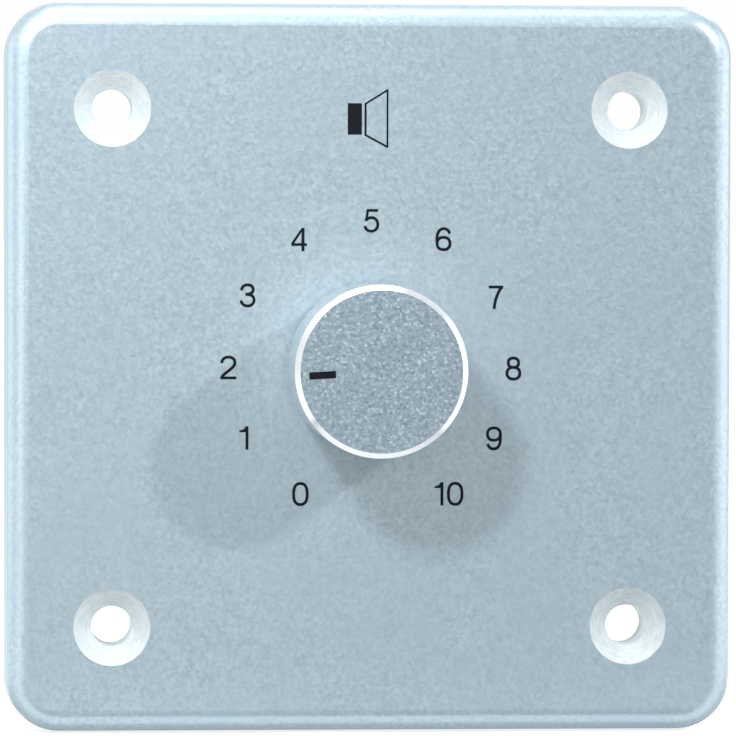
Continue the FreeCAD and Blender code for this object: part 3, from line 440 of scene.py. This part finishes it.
class Shape:
    """Points in millimetres and faces that are gathered into one piece."""

    def __init__(self):
        self.points = []
        self.faces = []

    def add(self, points, faces):
        first = len(self.points)
        self.points += points
        self.faces += [[first + corner for corner in face] for face in faces]

    def prism(self, outline, z0, z1):
        """Outline of x, y points carried along Z, with flat ends."""
        count = len(outline)
        ends = [(x, y, z) for z in (z0, z1) for x, y in outline]
        sides = [(i, (i + 1) % count, count + (i + 1) % count, count + i) for i in range(count)]
        self.add(ends, sides + [tuple(range(count)), tuple(range(2 * count - 1, count - 1, -1))])

    def turned(self, x, z, profile):
        """Round form about a line along Y at x, z, from points of radius and Y, closed at both ends."""
        segments = 24
        ring_count = len(profile)
        points = []
        for radius, y in profile:
            for step in range(segments):
                angle = math.tau * step / segments
                points.append((x + radius * math.cos(angle), y, z + radius * math.sin(angle)))
        faces = []
        for ring in range(ring_count - 1):
            for step in range(segments):
                after = (step + 1) % segments
                faces.append((ring * segments + step, ring * segments + after,
                              (ring + 1) * segments + after, (ring + 1) * segments + step))
        faces.append(tuple(range(segments)))
        faces.append(tuple(range((ring_count - 1) * segments, ring_count * segments)))
        self.add(points, faces)

    def round_wire(self, path, radius):
        """Round wire along a path of points, with closed ends."""
        sides = 8
        path = [Vector(p) for p in path]
        points = []
        side = None
        for number, point in enumerate(path):
            before = path[max(number - 1, 0)]
            after = path[min(number + 1, len(path) - 1)]
            heading = (after - before).normalized()
            if side is None:
                side = heading.orthogonal().normalized()
            side = (side - heading * side.dot(heading)).normalized()
            up = heading.cross(side)
            for k in range(sides):
                angle = math.tau * k / sides
                points.append(tuple(point + radius * (math.cos(angle) * side + math.sin(angle) * up)))
        faces = []
        for number in range(len(path) - 1):
            for k in range(sides):
                after = (k + 1) % sides
                faces.append((number * sides + k, number * sides + after,
                              (number + 1) * sides + after, (number + 1) * sides + k))
        faces.append(tuple(range(sides)))
        faces.append(tuple(range((len(path) - 1) * sides, len(path) * sides)))
        self.add(points, faces)

    def flat(self, outlines, y0, y1):
        """Joins flat outlines of x, z points into one plate between y0 and y1."""
        corners = []
        loops = []
        for loop in outlines:
            loops.append(list(range(len(corners), len(corners) + len(loop))))
            area = sum(a[0] * b[1] - b[0] * a[1] for a, b in zip(loop, loop[1:] + loop[:1]))
            corners += [Vector(p) for p in (loop if area > 0 else loop[::-1])]
        triangles_inside, nearness = 1, 1e-5
        made, _, faces, _, _, origins = delaunay_2d_cdt(corners, [], loops, triangles_inside, nearness)
        solid = [face for face, origin in zip(faces, origins) if origin]
        count = len(made)
        points = [(p.x, y0, p.y) for p in made] + [(p.x, y1, p.y) for p in made]
        front = [tuple(face) for face in solid]
        rear = [tuple(count + corner for corner in reversed(face)) for face in solid]
        used = set()
        for face in front:
            for a, b in zip(face, face[1:] + face[:1]):
                used.add((a, b))
        walls = [(b, a, a + count, b + count) for a, b in used if (b, a) not in used]
        kept = sorted({corner for face in front + rear + walls for corner in face})
        index = {corner: number for number, corner in enumerate(kept)}
        self.add([points[corner] for corner in kept],
                 [[index[corner] for corner in face] for face in front + rear + walls])

    def piece(self, name, look, slot, body="root", smooth=None):
        """Makes the piece, riding on a body. Edges that turn by less than smooth degrees are smoothed."""
        mesh = bpy.data.meshes.new(name)
        mesh.from_pydata([Vector(p) * MM for p in self.points], [], self.faces)
        work = bmesh.new()
        work.from_mesh(mesh)
        bmesh.ops.remove_doubles(work, verts=work.verts, dist=1e-7)
        bmesh.ops.recalc_face_normals(work, faces=work.faces)
        work.to_mesh(mesh)
        work.free()
        mesh.materials.append(looks[look])
        if smooth is not None:
            for polygon in mesh.polygons:
                polygon.use_smooth = True
            mesh.set_sharp_from_angle(angle=math.radians(smooth))
        obj = bpy.data.objects.new(name, mesh)
        scene.collection.objects.link(obj)
        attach(obj, body)
        return obj


def circle(x, z, radius, segments):
    return [(x + radius * math.cos(math.tau * k / segments), z + radius * math.sin(math.tau * k / segments))
            for k in range(segments)]


def rectangle(x0, x1, z0, z1):
    return [(x0, z0), (x1, z0), (x1, z1), (x0, z1)]


# Keeps the corner of a stroke within twice its half width.
least_mitre_cosine = 0.5


def ribbon(path, width):
    """Outline of a stroke of even width along a path of x, z points."""
    path = [Vector(p) for p in path]
    left = []
    right = []
    for number, point in enumerate(path):
        before = path[max(number - 1, 0)]
        after = path[min(number + 1, len(path) - 1)]
        heading = (after - before).normalized()
        across = Vector((-heading.y, heading.x))
        half = width / 2
        if 0 < number < len(path) - 1:
            half /= max((point - before).normalized().dot(heading), least_mitre_cosine)
        left.append(tuple(point + across * half))
        right.append(tuple(point - across * half))
    return left + right[::-1]


def curve_path(start, *legs):
    """Smooth path of Bezier legs, each given as two handles and an end."""
    steps = 10
    points = [Vector(start)]
    for handle_a, handle_b, end in legs:
        a, b, c, d = points[-1], Vector(handle_a), Vector(handle_b), Vector(end)
        for step in range(1, steps + 1):
            t = step / steps
            s = 1 - t
            points.append(a * s ** 3 + b * 3 * s * s * t + c * 3 * s * t * t + d * t ** 3)
    return [tuple(p) for p in points]


def oval(x, z, half_x, half_z, power=2.3):
    """The two halves of an oval, which a power above 2 squares a little."""
    segments = 40

    def on(step):
        angle = math.tau * step / segments
        c, s = math.cos(angle), math.sin(angle)
        return (x + half_x * math.copysign(abs(c) ** (2 / power), c),
                z + half_z * math.copysign(abs(s) ** (2 / power), s))

    half = segments // 2
    return [on(k) for k in range(half + 1)], [on(k) for k in range(half, segments + 1)]


# The printed dial

numeral_height = 2.55
# Width of a line as a share of the numeral's height.
stroke = 0.128


def turned_over(outlines):
    """Outlines in their cell, turned by half a turn."""
    return [[(-x, 1 - z) for x, z in outline] for outline in outlines]


def six():
    tail = curve_path((0.262, 0.735), ((0.235, 0.88), (0.135, 0.950), (0.015, 0.950)),
                      ((-0.185, 0.950), (-0.280, 0.780), (-0.280, 0.470)),
                      ((-0.280, 0.40), (-0.278, 0.36), (-0.272, 0.315)))
    bowl = [ribbon(half, stroke) for half in oval(0.004, 0.315, 0.277, 0.263)]
    return [ribbon(tail, stroke)] + bowl


# Each numeral is drawn in a cell one unit high, centred on x = 0.
numerals = {
    "0": [ribbon(half, stroke) for half in oval(0, 0.5, 0.292, 0.45, 2.45)],
    "1": [rectangle(0.075, 0.075 + stroke, 0, 1),
          [(0.10, 1.0), (0.10, 0.745), (-0.185, 0.745), (-0.185, 0.828), (-0.10, 0.838), (-0.02, 0.868),
           (0.04, 0.92), (0.075, 1.0)]],
    "2": [ribbon(curve_path((-0.282, 0.690), ((-0.282, 0.86), (-0.165, 0.950), (0.0, 0.950)),
                            ((0.165, 0.950), (0.275, 0.86), (0.275, 0.715)),
                            ((0.275, 0.58), (0.17, 0.50), (0.02, 0.375)),
                            ((-0.14, 0.25), (-0.270, 0.16), (-0.290, 0.045))), stroke),
          rectangle(-0.352, 0.338, 0, stroke * 0.95)],
    "3": [ribbon(curve_path((-0.262, 0.715), ((-0.25, 0.87), (-0.14, 0.950), (-0.01, 0.950)),
                            ((0.15, 0.950), (0.235, 0.87), (0.235, 0.750)),
                            ((0.235, 0.62), (0.13, 0.548), (-0.095, 0.548))), stroke),
          ribbon(curve_path((-0.095, 0.548), ((0.17, 0.548), (0.272, 0.45), (0.272, 0.305)),
                            ((0.272, 0.15), (0.155, 0.050), (-0.005, 0.050)),
                            ((-0.15, 0.050), (-0.262, 0.13), (-0.282, 0.285))), stroke)],
    "4": [rectangle(0.105, 0.105 + stroke, 0, 1),
          rectangle(-0.335, 0.345, 0.225, 0.225 + stroke * 0.92),
          [(0.112, 1.0), (0.223, 1.0), (0.223, 0.86), (0.13, 0.845), (-0.215, 0.325), (-0.335, 0.325),
           (-0.335, 0.34)]],
    "5": [rectangle(-0.195, 0.282, 1 - stroke * 0.95, 1),
          [(-0.205, 1.0), (-0.098, 1.0), (-0.155, 0.60), (-0.165, 0.50), (-0.285, 0.475)],
          ribbon(curve_path((-0.235, 0.500), ((-0.17, 0.605), (-0.09, 0.628), (-0.005, 0.628)),
                            ((0.17, 0.628), (0.272, 0.50), (0.272, 0.340)),
                            ((0.272, 0.17), (0.155, 0.050), (-0.005, 0.050)),
                            ((-0.15, 0.050), (-0.262, 0.13), (-0.282, 0.275))), stroke)],
    "6": six(),
    "7": [rectangle(-0.300, 0.318, 1 - stroke * 0.95, 1),
          ribbon(curve_path((0.268, 0.945), ((0.12, 0.78), (-0.035, 0.45), (-0.070, 0.0))), stroke)],
    "8": [ribbon(half, stroke) for half in oval(0, 0.749, 0.222, 0.201)]
         + [ribbon(half, stroke) for half in oval(0, 0.299, 0.277, 0.249)],
    "9": turned_over(six()),
}
# Centre of each numeral on the plate.
dial = [
    ("0", -7.72, -13.73), ("1", -13.92, -7.61), ("2", -15.60, 0.06), ("3", -13.52, 7.93),
    ("4", -7.93, 14.03), ("5", -0.02, 16.10), ("6", 7.86, 14.10), ("7", 13.62, 7.77),
    ("8", 15.58, -0.02), ("9", 13.47, -7.66), ("1", 7.42, -13.72), ("0", 9.23, -13.72),
]
# The ink is a thin layer that starts just inside the plate's face.
ink_y0, ink_y1 = -8.016, -7.996
for place, (figure, x, z) in enumerate(dial):
    shape = Shape()
    outlines = [[(x + px * numeral_height, z + (pz - 0.5) * numeral_height) for px, pz in outline]
                for outline in numerals[figure]]
    shape.flat(outlines, ink_y0, ink_y1)
    shape.piece("dial_numeral_%02d" % place, "ink_black", slot="pointer_black")

symbol = Shape()
symbol.flat([rectangle(-2.64, -1.09, 25.46, 28.89),
             ribbon([(-0.70, 25.42), (-0.70, 28.85)], 0.23),
             ribbon([(1.70, 24.05), (1.70, 30.42)], 0.20),
             ribbon([(-0.78, 28.78), (1.75, 30.36)], 0.20),
             ribbon([(-0.78, 25.48), (1.75, 24.11)], 0.22)], ink_y0, ink_y1)
symbol.piece("loudspeaker_symbol", "ink_black", slot="pointer_black")


# Board: pads, tracks and printed outlines

board_front_y, board_rear_y = 8.5, 10.1
bobbin_pin_pitch, pole_pitch = 3.8, 5.08
bobbin_pin_radius, pole_leg_half_thickness = 0.4, 0.25


def on_a_circle(radius, clock_degrees):
    """Place on a circle about the shaft, at an angle clockwise from the top."""
    angle = math.radians(clock_degrees)
    return radius * math.sin(angle), radius * math.cos(angle)


contact_count, contact_step, first_contact = 11, 30, 210
contact_radius, common_radius = 8.5, 4.4
contact_places = [on_a_circle(contact_radius, first_contact + contact_step * n) for n in range(contact_count)]
common_place = on_a_circle(common_radius, 180)
pin_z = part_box("bobbin_pins")[1].z / MM - bobbin_pin_radius
coil_places = [(bobbin_pin_pitch * (n - 2.5), side * pin_z) for side in (-1, 1) for n in range(6)]
leg_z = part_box("terminal_pins")[1].z / MM - pole_leg_half_thickness
pole_places = [(pole_pitch * n, leg_z) for n in (-1, 0, 1)]


def lands(name, places, y, rise):
    """Round solder lands about a set of pins, raised a little from the board."""
    outer, inner, bevel = 1.22, 0.2, 0.08
    shape = Shape()
    profile = [(outer, y), (outer, y + rise * 0.6), (outer - bevel, y + rise), (inner, y + rise)]
    for x, z in places:
        shape.turned(x, z, profile)
    shape.piece(name, "solder", slot="solder")


def tracks():
    """Tracks under the lacquer: from taps and poles to pads in front, and from taps to contacts behind."""
    tap_width, tap_pad, pole_width, pole_pad, height = 0.7, 0.65, 1.3, 0.9, 0.03
    # A tap's track runs straight at first and then fans out. The outer ones are shorter.
    straight, reach, shorter, fan = 1.6, 5.2, 0.22, 1.25
    front, rear = [], []
    for x, z in coil_places:
        knee = (x, z + math.copysign(straight, z))
        end = (x * fan, z + math.copysign(reach - abs(x) * shorter, z))
        front.append(ribbon([(x, z), knee, end], tap_width))
        front.append(circle(*end, tap_pad, 16))
        near = min(contact_places, key=lambda place: math.hypot(place[0] - x, place[1] - z))
        rear.append(ribbon([(x, z), near], tap_width))
    for x, z in pole_places:
        knee = (x * 1.5, z - 3.0)
        end = (x * 2.1, z - 5.4)
        front.append(ribbon([(x, z), knee, end], pole_width))
        front.append(circle(*end, pole_pad, 20))
    for side, outlines, y0 in (("front", front, board_front_y - height), ("rear", rear, board_rear_y)):
        shape = Shape()
        shape.flat(outlines, y0, y0 + height)
        shape.piece("board_tracks_" + side, "track_green", slot="board_green")


def border(x0, x1, z0, z1, line):
    """The four sides of a rectangle, drawn inside its edges."""
    return [rectangle(x0, x1, z0, z0 + line), rectangle(x0, x1, z1 - line, z1),
            rectangle(x0, x0 + line, z0, z1), rectangle(x1 - line, x1, z0, z1)]


def print_on_board():
    """White outlines of what stands on the board, and numbers for the three poles."""
    line, margin, side_margin, height, numbers_z = 0.18, 0.5, 0.6, 1.5, -24.9
    sunk, raised = 0.01, 0.02
    low, high = (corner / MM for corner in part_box("terminal_housing"))
    outlines = border(low.x - margin, high.x + margin, low.z - margin, high.z + margin, line)
    low, high = (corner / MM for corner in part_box("coil_bobbin"))
    outlines += border(low.x - side_margin, high.x + side_margin, low.z - margin, high.z + margin, line)
    for figure, x in (("1", pole_pitch), ("2", 0.0), ("3", -pole_pitch)):
        outlines += [[(x - px * height, numbers_z + (pz - 0.5) * height) for px, pz in outline]
                     for outline in numerals[figure]]
    shape = Shape()
    shape.flat(outlines, board_rear_y - sunk, board_rear_y + raised)
    shape.piece("board_print_rear", "ink_white", slot="board_green")


lands("solder_lands_front", coil_places + pole_places, board_front_y, -0.035)
lands("solder_lands_rear", contact_places + [common_place], board_rear_y, 0.035)
tracks()
print_on_board()


# Transformer: stacked sheets and the leads of the winding

def core_sheets():
    """The core as single sheets, in packs that are turned about, each with its E and its I."""
    low, high = (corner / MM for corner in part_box("core_e_plates"))
    half_width, leg = high.x, high.x / 3
    back, tips = low.y + leg, high.y - leg
    e_outline = [(-half_width, low.y), (half_width, low.y), (half_width, tips), (half_width - leg, tips),
                 (half_width - leg, back), (leg, back), (leg, tips), (-leg, tips), (-leg, back),
                 (-half_width + leg, back), (-half_width + leg, tips), (-half_width, tips)]
    joint = 0.04
    i_outline = [(-half_width, tips + joint), (half_width, tips + joint), (half_width, high.y),
                 (-half_width, high.y)]
    sheets, packs, gap = 32, 8, 0.05
    pitch = (high.z - low.z) / sheets
    e_shape, i_shape = Shape(), Shape()
    for number in range(sheets):
        turned_about = number * packs // sheets % 2 == 1
        z0 = low.z + number * pitch + gap / 2
        z1 = z0 + pitch - gap
        for shape, outline in ((e_shape, e_outline), (i_shape, i_outline)):
            if turned_about:
                outline = [(x, high.y + low.y - y) for x, y in outline]
            shape.prism(outline, z0, z1)
    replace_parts(e_shape.piece("core_e_sheets", "core_steel", slot="core_steel"), "core_e_plates")
    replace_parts(i_shape.piece("core_i_sheets", "core_steel", slot="core_steel"), "core_i_plates")


def coil_leads():
    """The taps come out from under the tape, run over the shelf and are wound round their pins."""
    chance = random.Random(4)
    bobbin_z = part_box("coil_bobbin")[1].z / MM
    tape_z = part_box("coil_tape")[1].z / MM
    radius, turns, steps_a_turn = 0.17, 3, 10
    rise_a_turn = radius * 2.1
    reach = bobbin_pin_radius + radius
    shape = Shape()
    for x, z in coil_places:
        side = math.copysign(1, z)
        over = side * (bobbin_z + radius)
        start_x = x * 0.82 + chance.uniform(-0.3, 0.3)
        middle_x = start_x + (x - start_x) * 0.6 + chance.uniform(-0.25, 0.25)
        route = [(start_x, 22.0, side * (tape_z - 0.05)), (start_x, 20.6, side * (tape_z + radius * 0.8)),
                 (start_x, 19.9, side * (tape_z + radius * 1.6)), (start_x + (x - start_x) * 0.1, 19.2, over),
                 (start_x + (x - start_x) * 0.3, 18.2, over), (middle_x, 15.6, over), (x, 13.2, over),
                 (x, 12.35, over), (x, 11.95, side * (abs(z) + 1.1))]
        for k in range(turns * steps_a_turn + 1):
            share = k / steps_a_turn
            angle = math.tau * share
            route.append((x + reach * math.sin(angle), 11.85 - share * rise_a_turn,
                          z + side * reach * math.cos(angle)))
        shape.round_wire(route, radius)
    shape.piece("coil_leads", "lead_copper", slot="winding_copper", smooth=50)


core_sheets()
coil_leads()


# Studio: floor, lamps, surroundings and camera

# What is mirrored is grey in front and a little to the right, and white around that. The cosines are
# those of the angles at which it begins and ceases to be grey.
grey_heading = Vector((0.22, -0.95, -0.12)).normalized()
grey_ends, grey_begins = 0.90, 0.985
# Where it is mirrored, the floor is grey in a wedge in front of the plate, from just before its lower edge:
# a painted darker reflection. The least distance keeps the wedge's cosine from a division by zero.
wedge_half_width, wedge_start = 0.036, -0.0102
wedge_ends, wedge_begins = 0.55, 0.85
least_distance = 0.0001
# Under the knob a white strip lies across it, which the knob's chamfer mirrors as a painted highlight; it
# glows only where it is mirrored. It fades from these shares of its half depth and half length.
strip_y, strip_half_depth, strip_half_length = -0.0230, 0.0042, 0.050
strip_level, strip_fades_across, strip_fades_along = 0.85, 0.6, 0.7
# Close under the plate what is mirrored is darker, by foot_level: a painted shadow seen only in reflections.
foot_y, foot_half_depth, foot_level, foot_fades = -0.0005, 0.0077, 0.55, 0.85
# Seen directly, the floor turns white between these distances from the middle.
white_from, white_at = 0.12, 0.45
# The light on matt surfaces grows from front to back between these parts of its direction along Y.
grows_from, grows_to = -0.05, 0.5


class ShaderMaths:
    """Short forms for the nodes that the floor and the surroundings are made of."""

    def __init__(self, tree):
        self.tree = tree

    def link(self, source, target):
        """Links a socket, or sets a number."""
        if hasattr(source, "is_output"):
            self.tree.links.new(source, target)
        else:
            target.default_value = source

    def maths(self, operation, a, b=0.0):
        node = self.tree.nodes.new("ShaderNodeMath")
        node.operation = operation
        self.link(a, node.inputs[0])
        self.link(b, node.inputs[1])
        return node.outputs[0]

    def distance(self, a, b):
        """How far a point at a, b lies from 0, 0."""
        squares = self.maths("ADD", self.maths("MULTIPLY", a, a), self.maths("MULTIPLY", b, b))
        return self.maths("SQRT", squares)

    def away(self, a, b):
        """How far apart the two values are."""
        return self.maths("ABSOLUTE", self.maths("SUBTRACT", a, b))

    def ramp(self, value, low, high, at_low, at_high):
        """Goes smoothly from one level to another as the value goes from low to high."""
        node = self.tree.nodes.new("ShaderNodeMapRange")
        node.interpolation_type = "SMOOTHSTEP"
        ends = {"From Min": low, "From Max": high, "To Min": at_low, "To Max": at_high}
        for socket, number in ends.items():
            node.inputs[socket].default_value = number
        self.link(value, node.inputs["Value"])
        return node.outputs["Result"]

    def rays(self):
        """Outputs that tell a camera ray from a mirrored one."""
        return self.tree.nodes.new("ShaderNodeLightPath").outputs


def studio_floor(size, shade_seen, shade_lit, glow_seen, glow_mirrored, front_mirrored):
    """A floor that keeps the shadow and otherwise looks white, but is greyer in front when mirrored.

    The shades are its grey as the camera sees it and as it lights the object. The glows are added where it
    is seen and where it is mirrored, and front_mirrored is the level that is mirrored in the wedge.
    """
    mesh = bpy.data.meshes.new("studio_floor")
    level = cad_box[0][2]
    corners = [(-size, -size, level), (size, -size, level), (size, size, level), (-size, size, level)]
    mesh.from_pydata(corners, [], [(0, 1, 2, 3)])
    floor = bpy.data.objects.new("studio_floor", mesh)
    scene.collection.objects.link(floor)
    material = bpy.data.materials.new("studio_floor")
    material.use_nodes = True
    tree = material.node_tree
    tree.nodes.clear()
    maths = ShaderMaths(tree)
    rays = maths.rays()
    matt = tree.nodes.new("ShaderNodeBsdfDiffuse")
    maths.link(maths.ramp(rays["Is Camera Ray"], 0, 1, shade_lit, shade_seen), matt.inputs["Color"])
    place = tree.nodes.new("ShaderNodeTexCoord")
    split = tree.nodes.new("ShaderNodeSeparateXYZ")
    tree.links.new(place.outputs["Object"], split.inputs[0])
    x, y = split.outputs["X"], split.outputs["Y"]
    from_middle = maths.maths("ABSOLUTE", x)
    # The wedge: a painted darker reflection in front of the plate, seen only where the floor is mirrored.
    beside = maths.maths("MAXIMUM", maths.maths("SUBTRACT", from_middle, wedge_half_width), least_distance)
    before = maths.maths("SUBTRACT", wedge_start, y)
    cosine = maths.maths("DIVIDE", before, maths.distance(beside, before))
    wedge = maths.ramp(cosine, wedge_ends, wedge_begins, glow_mirrored, front_mirrored)
    # The strip: a glow seen only where mirrored, a painted highlight on the knob's chamfer.
    across = maths.ramp(maths.away(y, strip_y), strip_half_depth * strip_fades_across, strip_half_depth,
                        glow_mirrored * strip_level, 0.0)
    along = maths.ramp(from_middle, strip_half_length * strip_fades_along, strip_half_length, 1.0, 0.0)
    strip = maths.maths("MULTIPLY", across, along)
    # The foot: a painted shadow under the plate, seen only where the floor is mirrored.
    foot = maths.ramp(maths.away(y, foot_y), foot_half_depth * foot_fades, foot_half_depth, foot_level, 1.0)
    pale = maths.maths("MULTIPLY", maths.maths("MAXIMUM", wedge, strip), foot)
    mirrored = maths.maths("MULTIPLY", rays["Is Glossy Ray"], pale)
    whitening = maths.ramp(maths.distance(x, y), white_from, white_at, glow_seen, 1.0)
    seen = maths.maths("MULTIPLY", rays["Is Camera Ray"], whitening)
    glow = tree.nodes.new("ShaderNodeEmission")
    maths.link(maths.maths("ADD", seen, mirrored), glow.inputs["Strength"])
    both = tree.nodes.new("ShaderNodeAddShader")
    tree.links.new(matt.outputs[0], both.inputs[0])
    tree.links.new(glow.outputs[0], both.inputs[1])
    # From below the floor is clear, so that the underside can be looked at.
    side = tree.nodes.new("ShaderNodeNewGeometry")
    clear = tree.nodes.new("ShaderNodeBsdfTransparent")
    one_sided = tree.nodes.new("ShaderNodeMixShader")
    output = tree.nodes.new("ShaderNodeOutputMaterial")
    tree.links.new(side.outputs["Backfacing"], one_sided.inputs[0])
    tree.links.new(both.outputs[0], one_sided.inputs[1])
    tree.links.new(clear.outputs[0], one_sided.inputs[2])
    tree.links.new(one_sided.outputs[0], output.inputs["Surface"])
    mesh.materials.append(material)


def surroundings(matt_front, matt_back, lift, front_mirrored):
    """White where they are seen or mirrored, but greyer in front, and a softer light on matt surfaces.

    The light on matt surfaces goes from matt_front to matt_back, and is brighter from above by lift.
    front_mirrored is the level that is mirrored in front.
    """
    world = bpy.data.worlds.new("studio")
    world.use_nodes = True
    tree = world.node_tree
    tree.nodes.clear()
    maths = ShaderMaths(tree)
    rays = maths.rays()
    place = tree.nodes.new("ShaderNodeTexCoord")
    split = tree.nodes.new("ShaderNodeSeparateXYZ")
    tree.links.new(place.outputs["Generated"], split.inputs[0])
    upward = maths.maths("ADD", maths.maths("MULTIPLY", split.outputs["Z"], lift), 1.0)
    backward = maths.ramp(split.outputs["Y"], grows_from, grows_to, matt_front, matt_back)
    matt = maths.maths("MULTIPLY", upward, backward)
    facing = tree.nodes.new("ShaderNodeVectorMath")
    facing.operation = "DOT_PRODUCT"
    facing.inputs[1].default_value = grey_heading
    tree.links.new(place.outputs["Generated"], facing.inputs[0])
    mirrored = maths.ramp(facing.outputs["Value"], grey_ends, grey_begins, 1.0, front_mirrored)
    white = maths.maths("MAXIMUM", rays["Is Camera Ray"], rays["Is Transmission Ray"])
    strength = maths.maths("ADD", white, maths.maths("MULTIPLY", rays["Is Glossy Ray"], mirrored))
    seen = maths.maths("MAXIMUM", white, rays["Is Glossy Ray"])
    unseen = maths.maths("SUBTRACT", 1.0, seen)
    background = tree.nodes.new("ShaderNodeBackground")
    light = maths.maths("ADD", strength, maths.maths("MULTIPLY", unseen, matt))
    maths.link(light, background.inputs["Strength"])
    output = tree.nodes.new("ShaderNodeOutputWorld")
    tree.links.new(background.outputs[0], output.inputs["Surface"])
    background.inputs["Color"].default_value = (1, 1, 1, 1)
    scene.world = world


def lamp(name, direction, distance, power, size):
    """A round soft lamp of a power in watts, at a distance from the origin and facing it."""
    heading = Vector(direction).normalized()
    data = bpy.data.lights.new(name, "AREA")
    data.shape = "DISK"
    data.size = size
    data.energy = power
    obj = bpy.data.objects.new(name, data)
    obj.location = heading * distance
    obj.rotation_euler = heading.to_track_quat("Z", "Y").to_euler()
    obj.visible_camera = False
    scene.collection.objects.link(obj)


studio_floor(size=40.0, shade_seen=0.90, shade_lit=0.45, glow_seen=0.68, glow_mirrored=0.95,
             front_mirrored=0.02)
surroundings(matt_front=0.01, matt_back=0.42, lift=0.25, front_mirrored=0.30)
lamp("lamp_right", (15.1, -15.5, 10.7), 2.00, 15.4, 0.12)
lamp("lamp_left", (-6.9, -15.5, 10.1), 0.33, 0.525, 0.043)
lamp("lamp_top_left", (-1.3, -0.9, 1.2), 0.22, 0.075, 0.16)
lamp("lamp_over", (-0.20, -0.36, 1.0), 0.25, 0.085, 0.20)
lamp("lamp_above", (-0.05, -0.04, 1.0), 0.34, 0.22, 0.26)
lamp("lamp_beside_left", (-0.70, -0.71, 0.03), 0.30, 0.061, 0.15)
lamp("lamp_beside_right", (1.0, 0.02, 0.15), 0.32, 0.22, 0.30)
lamp("lamp_far_left", (-1.0, 0.35, 0.15), 0.32, 0.115, 0.26)
lamp("lamp_behind", (0.6, 1.0, 0.9), 0.90, 2.2, 0.14)

# Camera fitted to the photograph: place in millimetres, turns in degrees, focal length in image widths.
camera_place = (-43.1, -590.0, 14.7)
camera_yaw, camera_pitch, camera_roll = -4.20, -1.44, -0.15
focal_widths = 5350 / 736
turn = (Matrix.Rotation(math.radians(camera_yaw), 3, "Z")
        @ Matrix.Rotation(math.radians(camera_pitch), 3, "X")
        @ Matrix.Rotation(math.radians(camera_roll), 3, "Y")
        @ Matrix.Rotation(math.radians(90), 3, "X"))
camera_data = bpy.data.cameras.new("camera")
camera_data.sensor_width = 36
camera_data.lens = camera_data.sensor_width * focal_widths
camera_data.clip_start = 0.01
camera = bpy.data.objects.new("camera", camera_data)
camera.matrix_world = Matrix.Translation(Vector(camera_place) * MM) @ turn.to_4x4()
scene.collection.objects.link(camera)
scene.camera = camera
scene.view_settings.view_transform = "Standard"
